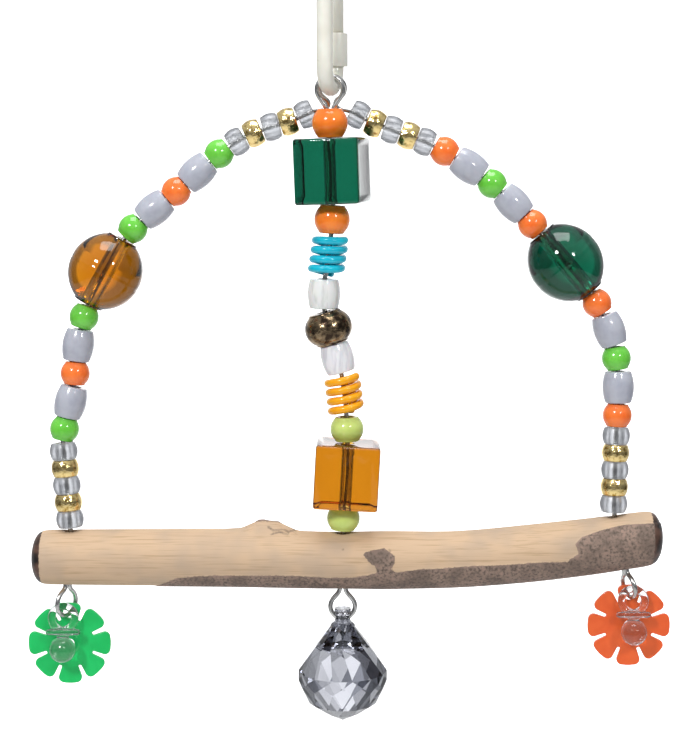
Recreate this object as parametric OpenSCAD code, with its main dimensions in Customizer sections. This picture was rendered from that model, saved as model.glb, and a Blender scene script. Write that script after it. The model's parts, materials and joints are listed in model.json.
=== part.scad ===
// Bird swing: a peeled branch hung from a plastic link by two wires threaded with beads.
// The origin is the inside of the link's upper bow, where it hangs. +X runs along the perch,
// +Y away from the viewer and +Z up.

/* [Hanging link] */
// Overall length of the link
link_length = 55; // [50:0.5:60]
// Thickness of the link's round bar
link_bar_d = 5.2; // [4.6:0.1:5.4]
// Distance between the centres of the link's two bars
link_spacing = 14; // [13:0.5:16]
// Angle that the link is turned from the swing
link_turn = 14; // [8:1:16]
// Opening in the bar that the nut closes
gate_gap = 6; // [4:0.5:8]
// Length of the nut
nut_length = 10.6; // [9.5:0.1:13]
// Width of the nut across its flats
nut_width = 7.2; // [6.8:0.1:8]
// Length of bar inside each end of the closed nut
nut_grip = 2.3; // [1.8:0.1:2.3]
// Play between the nut's bore and the bar
nut_play = 0.2; // [0.1:0.05:0.4]

/* [Wires] */
// Thickness of both wires
wire_d = 1.6; // [1.4:0.05:1.7]
// Radius of the eyes on the link, to the middle of the wire
top_eye_r = 4.2; // [4.1:0.05:4.5]
// Height of the middle wire's eye above the first bead
top_eye_height = 11; // [10.8:0.1:12]
// Distance between the two eyes on the link
top_eye_pitch = 1.85; // [1.8:0.05:2.2]
// Angle that the arch wire's eye leans back
arch_eye_lean = 27; // [26:1:29]
// Radius of the bend below the arch wire's eye
neck_bend_r = 2; // [1.6:0.1:2.6]
// Distance from a wire's middle to its tail's middle, halved
tail_offset = 0.9; // [0.88:0.01:0.95]
// Length of a wire's tail inside its hole
tail_length = 7; // [4:0.5:8]
// Radius of the eye that holds the drop
drop_eye_r = 4.1; // [3.9:0.1:4.6]
// Height of the eye that holds the drop
drop_eye_height = 10; // [9.6:0.1:12]
// Radius of the left eye under the perch
left_eye_r = 4.4; // [4.2:0.1:4.6]
// Height of the left eye under the perch
left_eye_height = 10; // [9.9:0.1:12]
// Angle that the left eye is turned from the perch
left_eye_turn = 56; // [55:1:65]
// Radius of the right eye under the perch
right_eye_r = 3.9; // [3.8:0.1:4]
// Height of the right eye under the perch
right_eye_height = 8.8; // [8.7:0.1:11]
// Angle that the right eye is turned from the perch
right_eye_turn = 112; // [100:1:114]

/* [Perch] */
// Thickness of the branch
perch_d = 19.2; // [17:0.2:22]
// Length of branch past the left wire
left_overhang = 13; // [10:0.5:18]
// Length of branch past the right wire
right_overhang = 16; // [12:0.5:20]
// Height of the right wire's foot over the left one's
foot_rise = 4.7; // [2:0.1:7]
// Height of the knot on top of the branch
knot_height = 4; // [2:0.1:5]
// Length of the knot along the branch
knot_length = 23; // [16:1:30]
// Bore of the three wire holes
perch_hole_d = 3.8; // [3.7:0.1:4.5]

/* [Arch beads] */
// Diameter of a pony bead
pony_d = 9; // [8:0.1:10]
// Length of a pony bead
pony_length = 5.5; // [5:0.05:6]
// Diameter of a round bead
round_d = 9.5; // [8.5:0.1:10.5]
// Length of a round bead
round_length = 7.5; // [7:0.1:8.1]
// Diameter of a grey barrel bead
barrel_d = 10.3; // [9:0.1:11]
// Length of a grey barrel bead
barrel_length = 10.4; // [9.5:0.1:11.4]
// Diameter of an oval bead
oval_d = 24; // [21:0.5:26]
// Length of the left oval bead
left_oval_length = 24; // [22:0.1:26]
// Length of the right oval bead
right_oval_length = 25; // [23:0.1:27]
// Bore of every bead
bore_d = 4; // [3.9:0.1:4.3]
// Gap between two beads on a straight stretch
bead_gap = 0.12; // [0.1:0.02:0.3]

/* [Middle strand] */
// Diameter of the two orange beads
orange_d = 11.5; // [10:0.1:12]
// Length of the two orange beads
orange_length = 9.1; // [8.8:0.1:10.2]
// Width of the two cubes
cube_w = 20.9; // [19:0.1:21.8]
// Angle that the green cube is turned about the wire
green_cube_turn = -12; // [-20:1:20]
// Outer diameter of the two coils
coil_d = 12.3; // [11.5:0.1:13]
// Thickness of a coil's strand
coil_strand = 2.6; // [2.3:0.05:2.65]
// Rise of a coil in one turn
coil_pitch = 3.05; // [3.05:0.05:3.4]
// Number of turns of a coil
coil_turns = 3.8; // [3:0.1:4.4]
// Diameter of the white barrel beads
white_d = 10.6; // [9.5:0.1:11.5]
// Length of the white barrel beads
white_length = 9.5; // [9:0.1:11.5]
// Diameter of the bronze bead
bronze_d = 15.5; // [14:0.1:17]
// Length of the bronze bead
bronze_length = 10.6; // [10:0.1:12]
// Diameter of the two lime beads
lime_d = 10.9; // [10:0.1:12]
// Length of the two lime beads
lime_length = 8; // [7.8:0.1:9.2]
// Gap between two pieces of the middle strand
strand_gap = 0.16; // [0.1:0.02:0.3]

/* [Hangers] */
// Diameter of the faceted drop
drop_d = 31; // [28:0.5:34]
// Height of the faceted drop
drop_height = 38.2; // [34:0.2:42]
// Diameter of the drop's neck
drop_neck_d = 5.4; // [5:0.1:5.6]
// Bore through the drop's neck
drop_hole_d = 3.3; // [3.2:0.1:3.4]
// Diameter of a flower disc
flower_d = 27.2; // [24:0.2:30]
// Thickness of a flower disc
flower_thick = 1.4; // [1.2:0.1:1.5]
// Hole that a flower hangs by
flower_hole_d = 3.9; // [3.8:0.1:4.2]
// Hole in the middle of a flower
flower_middle_d = 3.2; // [2.5:0.1:4]
// Width of a flower's slots at their inner end
slot_w = 1; // [0.8:0.1:1.4]
// Width of a flower's slots at the rim
slot_rim_w = 1.8; // [1.5:0.1:2.4]
// Outer diameter of a pacifier's ring
ring_d = 10.2; // [9.6:0.1:10.8]
// Hole in a pacifier's ring
ring_hole_d = 5.2; // [5.1:0.1:5.4]
// Width of a pacifier's guard
guard_w = 11.4; // [10.5:0.1:12.5]
// Depth of a pacifier's guard
guard_depth = 7; // [6:0.1:7.4]
// Thickness of a pacifier's guard
guard_thick = 2.1; // [1.6:0.1:2.6]
// Diameter of a pacifier's bulb
bulb_d = 8.6; // [8:0.1:9.2]
// Height of a pacifier's ring centre over its guard
ring_rise = 4.65; // [4.4:0.05:5]
// Height of a pacifier's ring centre over its bulb
bulb_drop = 10.3; // [9.8:0.1:11]
// Angle that a pacifier leans against its flower
pacifier_lean = 16; // [12:1:18]

/* [Hidden] */
// Running clearance between pieces that turn on each other
clearance = 0.2;
// Distance kept between a flower and the pacifier before it
hanger_gap = 0.3;
// Extra height of a pacifier's ring over the wire, because its eye leans
ring_ease = 0.2;
// Bare wire between the arch wire's neck and the first bead of each side
top_bare = 3.4;
// Length that the bends of each side add to its row of beads
left_bend_room = 5.2;
right_bend_room = 3.9;
strand_bend_room = 3.5;
// Height of the lowest bead of a row over the branch, and of the branch over an eye's neck
foot_gap = 0.5;
neck_gap = 0.9;
// Distance that a coil's ends lie over the shoulders of the beads next to it
coil_nest = 0.3;
// Extra height of the right foot's lowest bead, as a share of foot_rise
slope_gap_share = 0.13;
// Distance by which a cut passes the face it leaves
overrun = 1;
// Reach of the core that joins a bar and its bow, and the core's width as a share of the bar's
lap = 0.4;
core_share = 0.6;
// Straight runs in half of a bead's side, and how far its curve passes the bead's ends
side_steps = 8;
side_over_share = 1.01;
// Turn of both coils about the wire
coil_start = 60;
// Sides of a wire's section and of a coil's section
wire_sides = 8;
coil_sides = 6;
// Rings in one turn of a coil or of an eye
coil_rings = 24;
// Sides of the branch's section
perch_sides = 26;
// Radius of the rounded edges of beads, cubes and guards
edge_r = 0.9;
cube_edge_r = 0.7;

// Bodies of beads: how far the ends lie inside the widest place
pony_bulge_share = 0.09;
round_bulge_share = 0.19;
barrel_bulge_share = 0.1;
oval_bulge_share = 0.33;
white_bulge_share = 0.07;
bronze_bulge_share = 0.23;

// Every piece on the wires: length, diameter, bulge share, kind and colour
coil_room = coil_turns * coil_pitch + coil_strand - 2 * coil_nest;
orange_bead = [orange_length, orange_d, round_bulge_share, "bead", "darkorange"];
lime_bead = [lime_length, lime_d, round_bulge_share, "bead", "yellowgreen"];
white_barrel = [white_length, white_d, white_bulge_share, "bead", "whitesmoke"];
bronze_bead = [bronze_length, bronze_d, bronze_bulge_share, "bead", "saddlebrown"];
clear_pony = [pony_length, pony_d, pony_bulge_share, "bead", "lightgrey"];
gold_pony = [pony_length, pony_d, pony_bulge_share, "bead", "gold"];
green_round = [round_length, round_d, round_bulge_share, "bead", "limegreen"];
orange_round = [round_length, round_d, round_bulge_share, "bead", "coral"];
grey_barrel = [barrel_length, barrel_d, barrel_bulge_share, "bead", "darkgrey"];
amber_oval = [left_oval_length, oval_d, oval_bulge_share, "bead", "goldenrod"];
green_oval = [right_oval_length, oval_d, oval_bulge_share, "bead", "darkgreen"];
// The rows from the link down to the perch, and the names of their pieces
center_row = [orange_bead, [cube_w, cube_w, 0, "cube", "darkgreen"], orange_bead,
    [coil_room, coil_d, 0, "coil", "deepskyblue"], white_barrel, bronze_bead, white_barrel,
    [coil_room, coil_d, 0, "coil", "orange"], lime_bead, [cube_w, cube_w, 0, "cube", "goldenrod"],
    lime_bead];
center_names = ["top_orange_bead", "green_cube", "lower_orange_bead", "turquoise_coil",
    "pearl_barrel", "bronze_bead", "white_barrel", "yellow_coil", "upper_lime_bead", "amber_cube",
    "lower_lime_bead"];
// The last five beads of each arch row lie on its straight leg: clear and gold in turn
left_row = [clear_pony, gold_pony, clear_pony, gold_pony, clear_pony, green_round, grey_barrel,
    orange_round, grey_barrel, green_round, amber_oval, green_round, grey_barrel, orange_round,
    grey_barrel, green_round, clear_pony, gold_pony, clear_pony, gold_pony, clear_pony];
right_row = [clear_pony, gold_pony, clear_pony, gold_pony, clear_pony, orange_round, grey_barrel,
    green_round, grey_barrel, orange_round, green_oval, orange_round, grey_barrel, green_round,
    grey_barrel, orange_round, clear_pony, gold_pony, clear_pony, gold_pony, clear_pony];
leg_count = 5;
upper_count = len(left_row) - leg_count;
left_names = concat(
    ["left_clear_bead_1", "left_gold_bead_1", "left_clear_bead_2", "left_gold_bead_2",
     "left_clear_bead_3", "left_green_bead_1", "left_grey_barrel_1", "left_orange_bead_1",
     "left_grey_barrel_2", "left_green_bead_2", "amber_oval_bead", "left_green_bead_3",
     "left_grey_barrel_3", "left_orange_bead_2", "left_grey_barrel_4", "left_green_bead_4"],
    ["left_leg_clear_beads", "left_leg_gold_beads"]);
right_names = concat(
    ["right_clear_bead_1", "right_gold_bead_1", "right_clear_bead_2", "right_gold_bead_2",
     "right_clear_bead_3", "right_orange_bead_1", "right_grey_barrel_1", "right_green_bead_1",
     "right_grey_barrel_2", "right_orange_bead_2", "green_oval_bead", "right_orange_bead_3",
     "right_grey_barrel_3", "right_green_bead_2", "right_grey_barrel_4", "right_orange_bead_4"],
    ["right_leg_clear_beads", "right_leg_gold_beads"]);

// Routes of the two arch halves: places between the neck and the top of the leg, as shares of
// the way out and of the way down
left_route_shares = [[0, 0], [0.12, 0.035], [0.26, 0.07], [0.39, 0.13], [0.55, 0.24], [0.73, 0.36],
    [0.83, 0.48], [0.91, 0.61], [0.94, 0.72], [0.955, 0.83], [0.985, 0.93], [1, 1]];
right_route_shares = [[0, 0], [0.12, 0.045], [0.25, 0.085], [0.37, 0.13], [0.54, 0.23], [0.68, 0.35],
    [0.81, 0.48], [0.92, 0.6], [0.975, 0.7], [1, 0.8], [1.005, 0.9], [1, 1]];
// Angles of the legs and of the holes through the perch, from upright
left_leg_slant = -4.5;
right_leg_slant = -1.5;
left_hole_slant = 4;
right_hole_slant = 13;
// The middle strand's sideways drift, as shares of its largest drift, at shares of its length
drift_shares = [[0, 0.02], [0.04, 0], [0.15, 0.2], [0.27, 0.12], [0.35, -0.1], [0.41, -0.33],
    [0.46, -0.33], [0.51, -0.12], [0.59, 0.5], [0.68, 0.86], [0.76, 0.98], [0.86, 1], [1, 0.72]];
strand_drift = 5.7;
// Rise of the branch's axis, as shares of foot_rise, at shares of the way between the feet
rise_shares = [[-0.1, 0], [0, 0], [0.29, -0.02], [0.47, -0.2], [0.7, -0.17], [0.76, -0.02],
    [0.86, 0.34], [0.97, 0.83], [1, 1], [1.06, 1.34], [1.1, 1.5]];
strand_rise_share = -0.2;
// Radius of the branch, as shares of its own, at shares of its length
girth_shares = [[0, 0.95], [0.04, 0.975], [0.3, 1.02], [0.42, 1.01], [0.5, 1], [0.56, 1.03],
    [0.66, 0.99], [0.8, 1.01], [0.9, 0.99], [0.97, 0.96], [1, 0.95]];
foot_girth_share = 0.98;
// Domes of the branch's ends: depth and radius of four rings, as shares of its radius
end_shares = [[0, 0.34], [0.08, 0.66], [0.21, 0.88], [0.38, 0.975]];
// Height of the knot's middle along the branch and its width round it
knot_place_share = 0.375;
knot_spread = 42;
perch_rings = 34;
ripple_share = 0.015;

// Small vector and table functions
function unit(v) = v / norm(v);
function mid(a, b, t) = a + (b - a) * t;
function total(v, n) = n <= 0 ? 0 : v[n - 1] + total(v, n - 1);
function runs(path) = [for (i = 0, s = 0; i < len(path);
    s = s + (i + 1 < len(path) ? norm(path[i + 1] - path[i]) : 0), i = i + 1) s];
function column(path, s, k) = [for (i = [0:len(path) - 1]) [s[i], path[i][k]]];
function at(tables, s) = [for (t = tables) lookup(s, t)];
function tables(path) = let (s = runs(path)) [for (k = [0:2]) column(path, s, k)];
function heading(tables, s, step) = unit(at(tables, s + step) - at(tables, s - step));
function reversed(path) = [for (i = [len(path) - 1:-1:0]) path[i]];
function drop_first(path) = [for (i = [1:len(path) - 1]) path[i]];
function row_lengths(row) = [for (b = row) b[0]];

// A smooth curve through points: each stretch is a cubic whose ends run along the neighbours
function slope(p, i, first, last) =
    i == 0 ? first * norm(p[1] - p[0])
    : i == len(p) - 1 ? last * norm(p[i] - p[i - 1])
    : (p[i + 1] - p[i - 1]) / 2;
function cubic(a, b, u, v, t) = let (t2 = t * t, t3 = t2 * t)
    a * (2 * t3 - 3 * t2 + 1) + u * (t3 - 2 * t2 + t) + b * (3 * t2 - 2 * t3) + v * (t3 - t2);
function curve(p, first, last, steps) = concat(
    [for (i = [0:len(p) - 2], k = [0:steps - 1])
        cubic(p[i], p[i + 1], slope(p, i, first, last), slope(p, i + 1, first, last), k / steps)],
    [p[len(p) - 1]]);
function length_of(path) = let (s = runs(path)) s[len(s) - 1];

// A corner of a path, rounded by a short curve that starts a set distance before it
corner_share = 0.8;
function corner(a, b, c, reach) = let (p = b + reach * unit(a - b), q = b + reach * unit(c - b))
    [for (t = [0, 0.25, 0.5, 0.75, 1]) mid(mid(p, b, t), mid(b, q, t), t)];

// A teardrop eye in its own plane: it leaves the neck at +tail_offset, goes round and comes back
// to the neck at -tail_offset. Its second coordinate falls below the neck.
function eye(r, height) =
    let (h = height - wire_d / 2 - r, d = norm([tail_offset, h]),
        a = atan2(h, tail_offset) - acos(r / d), steps = coil_rings - 6)
    concat([[tail_offset, 0]],
        [for (k = [0:steps]) let (w = a - k * (180 + 2 * a) / steps) [r * cos(w), r * sin(w) - h]],
        [[-tail_offset, 0]]);

// A wire from a strand's end through its neck, round its eye and back past the neck as a tail
function hung_eye(from, neck, across, down, r, height, tail) =
    let (e = [for (q = eye(r, height)) neck + across * q[0] - down * q[1]],
        n = len(e), end = e[n - 1] + tail, reach = wire_d * corner_share)
    concat(corner(from, e[0], e[1], reach), [for (i = [1:n - 2]) e[i]],
        corner(e[n - 2], e[n - 1], end, reach), [end]);

// A round tube along a path, one solid of triangles
function normals(t) = let (n0 = unit(cross(t[0], abs(t[0][2]) > 0.9 ? [1, 0, 0] : [0, 0, 1])))
    [for (i = 0, n = n0; i < len(t); i = i + 1,
        n = i < len(t) ? unit(n - (n * t[i]) * t[i]) : n) n];
function directions(p) = let (e = len(p) - 1)
    [for (i = [0:e]) unit(unit(p[min(i + 1, e)] - p[min(i, e - 1)])
        + unit(p[max(i, 1)] - p[max(i - 1, 0)]))];
function skin(rings, sides) = concat(
    [for (i = [0:rings - 2], k = [0:sides - 1])
        let (a = i * sides + k, b = i * sides + (k + 1) % sides)
        each [[a, b + sides, b], [a, a + sides, b + sides]]],
    [for (k = [1:sides - 2]) [0, k, k + 1]],
    [for (k = [1:sides - 2]) let (z = (rings - 1) * sides) [z, z + k + 1, z + k]]);
module tube(path, d, sides) {
    t = directions(path);
    n = normals(t);
    points = [for (i = [0:len(path) - 1], k = [0:sides - 1])
        let (a = k * 360 / sides) path[i] + d / 2 * (cos(a) * n[i] + sin(a) * cross(t[i], n[i]))];
    polyhedron(points, skin(len(path), sides), convexity = 10);
}

// The link: where its two bows turn and where the eyes hang
bow_r = link_spacing / 2;
upper_bow_z = link_bar_d / 2 - bow_r;
lower_bow_z = link_bar_d * 1.5 - link_length + bow_r;
across_link = [cos(link_turn), -sin(link_turn), 0];
along_link = [sin(link_turn), cos(link_turn), 0];
hang_r = bow_r - link_bar_d / 2 - clearance - wire_d / 2;
eye_top_z = lower_bow_z - sqrt(hang_r * hang_r - top_eye_pitch * top_eye_pitch / 4);
gate_low_z = lower_bow_z + nut_grip;
gate_high_z = gate_low_z + gate_gap;
nut_low_z = lower_bow_z;
nut_travel = nut_grip + gate_gap;

// The middle strand: its route from the neck of its eye down to the branch
strand_top_z = eye_top_z + wire_d / 2 - top_eye_height;
center_eye_x = -tan(link_turn) * top_eye_pitch / 2;
strand_run = total(row_lengths(center_row), len(center_row)) + len(center_row) * strand_gap
    + strand_bend_room + foot_gap;
function strand_curve(fall) = curve([for (q = drift_shares)
    [center_eye_x + q[1] * strand_drift, 0, strand_top_z - q[0] * fall]], [0, 0, -1], [0, 0, -1], 5);
// Its fall is a little less than its run, because it isn't straight
strand_fall = strand_run * strand_run / length_of(strand_curve(strand_run));
strand_foot_z = strand_top_z - strand_fall;
middle_curve = strand_curve(strand_fall);
middle_foot = middle_curve[len(middle_curve) - 1];
middle_tables = tables(middle_curve);
middle_run = length_of(middle_curve);
perch_r = perch_d / 2;
axis_z = strand_foot_z - perch_r - strand_rise_share * foot_rise;
left_foot_z = axis_z + perch_r * foot_girth_share;
right_foot_z = left_foot_z + foot_rise;

// The arch wire: neck under its eye, the plane it lies in and its two halves
arch_eye_y = top_eye_pitch / 2;
arch_eye_x = tan(link_turn) * (arch_eye_y + top_eye_r * sin(arch_eye_lean) / 2);
neck_turn = 150;
neck_x = (top_eye_r + neck_bend_r) * sin(neck_turn);
neck_drop = top_eye_r - (top_eye_r + neck_bend_r) * cos(neck_turn) + neck_bend_r;
lean_down = [0, sin(arch_eye_lean), -cos(arch_eye_lean)];
arch_eye_top = [arch_eye_x, arch_eye_y, eye_top_z];
arch_neck = arch_eye_top + lean_down * neck_drop;
arch_down = unit([0, -arch_neck[1], axis_z - arch_neck[2]]);
right_foot_gap = foot_gap / 2 + slope_gap_share * foot_rise;
left_leg_run = leg_count * (pony_length + bead_gap) + foot_gap;
right_leg_run = leg_count * (pony_length + bead_gap) + right_foot_gap;
function upper_run(row, room) =
    total(row_lengths(row), upper_count) + upper_count * bead_gap + top_bare + room;
// Depth of the leg's top below the neck, measured in the arch's plane
function leg_depth(foot_z, leg, slant) = (foot_z - arch_neck[2]) / arch_down[2] - leg * cos(slant);
left_depth = leg_depth(left_foot_z, left_leg_run, left_leg_slant);
right_depth = leg_depth(right_foot_z, right_leg_run, right_leg_slant);
// A half's curve between the neck and its leg, for a given reach to the side
function half_curve(shares, reach, depth, slant, steps) =
    curve([for (q = shares) [q[0] * reach, q[1] * depth]], [1, 0], [sin(slant), cos(slant)], steps);
// The reach at which the curve is as long as its row of beads needs
function solve(shares, depth, slant, run, low, high, n) = let (m = (low + high) / 2)
    n == 0 ? m
    : length_of(half_curve(shares, m, depth, slant, 5)) < run
        ? solve(shares, depth, slant, run, m, high, n - 1)
        : solve(shares, depth, slant, run, low, m, n - 1);
least_reach_share = 0.1;
most_reach_share = 2;
solve_steps = 22;
left_reach = solve(left_route_shares, left_depth, left_leg_slant, upper_run(left_row, left_bend_room),
    left_depth * least_reach_share, left_depth * most_reach_share, solve_steps);
right_reach = solve(right_route_shares, right_depth, right_leg_slant,
    upper_run(right_row, right_bend_room), right_depth * least_reach_share,
    right_depth * most_reach_share, solve_steps);
function in_arch(side, q) =
    [arch_eye_x + side * (neck_x + q[0]), arch_neck[1], arch_neck[2]] + arch_down * q[1];
left_curve = [for (q = half_curve(left_route_shares, left_reach, left_depth, left_leg_slant, 5))
    in_arch(-1, q)];
right_curve = [for (q = half_curve(right_route_shares, right_reach, right_depth, right_leg_slant, 5))
    in_arch(1, q)];
function slanted(side, slant) = unit([side * sin(slant), 0, 0] + arch_down * cos(slant));
left_leg_way = slanted(-1, left_leg_slant);
right_leg_way = slanted(1, right_leg_slant);
left_hole_way = slanted(-1, left_hole_slant);
right_hole_way = slanted(1, right_hole_slant);
left_foot = left_curve[len(left_curve) - 1] + left_leg_way * left_leg_run;
right_foot = right_curve[len(right_curve) - 1] + right_leg_way * right_leg_run;
// Run of each half from the neck to the perch, and the same as tables for placing beads
left_line = concat(left_curve, [left_foot]);
right_line = concat(right_curve, [right_foot]);
left_tables = tables(left_line);
right_tables = tables(right_line);
left_run = length_of(left_line);
right_run = length_of(right_line);

// The branch: its ends, its axis and its radius
perch_low_x = left_foot[0] - left_overhang;
perch_high_x = right_foot[0] + right_overhang;
perch_length = perch_high_x - perch_low_x;
foot_span = right_foot[0] - left_foot[0];
function smooth_lookup(s, table, spread) =
    (lookup(s - spread, table) + lookup(s, table) + lookup(s + spread, table)) / 3;
function axis_rise(x) = foot_rise * smooth_lookup((x - left_foot[0]) / foot_span, rise_shares, 0.03);
function girth(s) = perch_r * smooth_lookup(s, girth_shares, 0.02);
function knot(x, a) = let (u = (x - perch_low_x - knot_place_share * perch_length) * 2 / knot_length,
        w = (a - 90) / knot_spread)
    abs(u) < 1 && abs(w) < 1 ? knot_height * pow(cos(90 * u), 2) * pow(cos(90 * w), 2) : 0;

// Wire holes through the branch: each starts at the wire's foot and leaves through the underside
function under(foot, way) = foot + way * ((perch_d * foot_girth_share + neck_gap) / -way[2]);
left_exit = under(left_foot, left_hole_way);
right_exit = under(right_foot, right_hole_way);
middle_exit = middle_foot - [0, 0, perch_d + neck_gap];

// Eyes under the branch: the way across each one, square to its hole
function turned(way, angle) = unit(cross(cross(way, [cos(angle), sin(angle), 0]), way));
drop_way = [0, 0, -1];
left_across = turned(left_hole_way, left_eye_turn);
right_across = turned(right_hole_way, right_eye_turn);
drop_across = [1, 0, 0];
left_eye_bottom = left_exit + left_hole_way * (left_eye_height - wire_d / 2);
right_eye_bottom = right_exit + right_hole_way * (right_eye_height - wire_d / 2);
drop_eye_bottom = middle_exit + drop_way * (drop_eye_height - wire_d / 2);

// The wire below a foot: over to one side of its hole, round its eye and back as a tail
side_start_share = 0.35;
function lower_part(foot, exit, way, across, r, height) =
    let (p = mid(foot, exit, side_start_share) + across * tail_offset)
    concat([p], hung_eye(p, exit, across, way, r, height, -way * tail_length));
left_wire = concat(left_line,
    lower_part(left_foot, left_exit, left_hole_way, left_across, left_eye_r, left_eye_height));
right_wire = concat(right_line,
    lower_part(right_foot, right_exit, right_hole_way, right_across, right_eye_r, right_eye_height));

// Half of the arch wire's eye, from its top round to the neck
function half_eye(side) = let (n = 9, m = 8, r = top_eye_r, b = neck_bend_r,
        c = arch_eye_top + lean_down * r,
        d = c - lean_down * (r + b) * cos(neck_turn) + [side * (r + b) * sin(neck_turn), 0, 0])
    concat([for (k = [0:n]) let (a = k * neck_turn / n)
            c + r * ([side * sin(a), 0, 0] - lean_down * cos(a))],
        [for (k = [1:m]) let (a = neck_turn * (1 - k / m))
            d + b * (lean_down * cos(a) - [side * sin(a), 0, 0])]);
arch_path = concat(reversed(concat(half_eye(-1), drop_first(left_wire))),
    drop_first(concat(half_eye(1), drop_first(right_wire))));

// The middle wire: its tail, its eye on the link, the strand and the eye for the drop.
// Below the tail the wire comes back to the middle of the bores.
lead_share = 1.8;
eye_up = unit([0, -top_eye_pitch / 2, top_eye_height]);
top_across = [-1, 0, 0];
lead = at(middle_tables, tail_length + wire_d / 2) + top_across * tail_offset;
lead_end = at(middle_tables, tail_length * lead_share);
center_path = concat(
    reversed(hung_eye(lead, middle_curve[0], top_across, eye_up, top_eye_r, top_eye_height,
        [0, 0, -tail_length])),
    [lead, lead_end], [for (p = middle_curve) if (p[2] < lead_end[2] - wire_d) p],
    lower_part(middle_foot, middle_exit, drop_way, drop_across, drop_eye_r, drop_eye_height));

// Where the beads lie: distance of each bead's middle from the neck, counted up from the perch.
// Where the wire bends, two beads meet at their lips and their middles lie further apart.
function lip(b) = b[1] * (0.5 - b[2]);
function stack(row, tables, s, i, gap) = i == 0 ? [s]
    : let (step = (row[i][0] + row[i - 1][0]) / 4,
        lip = min(lip(row[i]), lip(row[i - 1])),
        turning = acos(min(1, heading(tables, s, row[i][0] / 4)
            * heading(tables, s - 2 * step, row[i - 1][0] / 4))),
        bend = 2 * lip * tan(turning / 2))
    concat(stack(row, tables, s - 2 * step - gap - bend, i - 1, gap), [s]);
function places(row, tables, foot, gap) = let (n = len(row) - 1)
    stack(row, tables, foot - row[n][0] / 2, n, gap);
center_places = places(center_row, middle_tables, middle_run - foot_gap, strand_gap);
left_places = places(left_row, left_tables, left_run - foot_gap, bead_gap);
right_places = places(right_row, right_tables, right_run - right_foot_gap, bead_gap);

// Sets a piece that is drawn upright on a wire: its middle at s, its axis along the wire
function tilt_of(v) = [0, acos(v[2] / norm(v)), atan2(v[1], v[0])];
function seat_at(tables, s, length) = let (h = length / 2)
    mid(at(tables, s), (at(tables, s - h) + at(tables, s + h)) / 2, 0.5);
module set_on(tables, s, length) {
    r = tilt_of(-heading(tables, s, length / 4));
    translate(seat_at(tables, s, length)) rotate(r) rotate([0, 0, -r[2]]) children();
}
// The line that each piece turns on: its middle and its way down the wire
echo(first_beads = [center_places[0] - center_row[0][0] / 2, left_places[0] - pony_length / 2,
    right_places[0] - pony_length / 2]);
function axes(row, tables, places) = [for (i = [0:len(row) - 1])
    [seat_at(tables, places[i], row[i][0]), heading(tables, places[i], row[i][0] / 4)]];
echo(center_axes = axes(center_row, middle_tables, center_places));
echo(left_axes = axes(left_row, left_tables, left_places));
echo(right_axes = axes(right_row, right_tables, right_places));

// A bead: a ring section with a bulged side and rounded edges, turned about its bore
module bead(length, d, bulge_share) {
    bulge = d * bulge_share;
    side_r = (length * length / 4 + bulge * bulge) / (2 * bulge);
    wall = (d - bore_d) / 2;
    soft = min(edge_r, wall * 0.35);
    reach = asin(length / 2 / side_r) * side_over_share;
    side = [for (k = [-side_steps:side_steps]) let (a = k * reach / side_steps)
        [d / 2 - side_r + side_r * cos(a), side_r * sin(a)]];
    rotate_extrude($fn = 64) intersection() {
        polygon(concat([[0, -side_r * sin(reach)]], side, [[0, side_r * sin(reach)]]));
        union() {
            translate([bore_d / 2, soft - length / 2]) square([wall, length - 2 * soft]);
            translate([bore_d / 2 + soft, -length / 2]) square([wall - 2 * soft, length]);
            for (x = [bore_d / 2 + soft, d / 2 - soft], z = [-1, 1])
                translate([x, z * (length / 2 - soft)]) circle(r = soft, $fn = 32);
        }
    }
}

// A cube with eased edges and a bore
module rounded_square(w, r) {
    square([w, w - 2 * r], center = true);
    square([w - 2 * r, w], center = true);
    for (x = [-1, 1], y = [-1, 1]) translate([x, y] * (w / 2 - r)) circle(r = r, $fn = 32);
}
module cube_bead(w) {
    difference() {
        intersection_for (r = [[0, 0, 0], [90, 0, 0], [0, 90, 0]])
            rotate(r) linear_extrude(w, center = true) rounded_square(w, cube_edge_r);
        cylinder(h = w + overrun, d = bore_d, center = true, $fn = 48);
    }
}

// A coil: one strand wound round the wire, rising with the turn
function coil_path() = let (n = ceil(coil_turns * coil_rings), r = (coil_d - coil_strand) / 2)
    [for (i = [0:n]) let (a = i * 360 * coil_turns / n)
        [r * cos(a), r * sin(a), (i / n - 0.5) * coil_turns * coil_pitch]];
// Least gap of the coil to itself, over points at least half a turn apart
coil_points = coil_path();
coil_self_gap = min([for (i = [0:len(coil_points) - 1], k = [i + coil_rings / 2:len(coil_points) - 1])
    norm(coil_points[i] - coil_points[k])]) - coil_strand;
echo(coil_self_gap = coil_self_gap);
module coil(end_angle) {
    rotate([0, 0, end_angle]) tube(coil_path(), coil_strand, coil_sides);
}

module piece(p, turn = 0) {
    color(p[4]) {
        if (p[3] == "bead") bead(p[0], p[1], p[2]);
        if (p[3] == "cube") rotate([0, 0, turn]) cube_bead(p[0]);
        if (p[3] == "coil") coil(turn);
    }
}
module row_piece(row, tables, places, i, turn = 0) {
    set_on(tables, places[i], row[i][0]) piece(row[i], turn);
}

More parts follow.
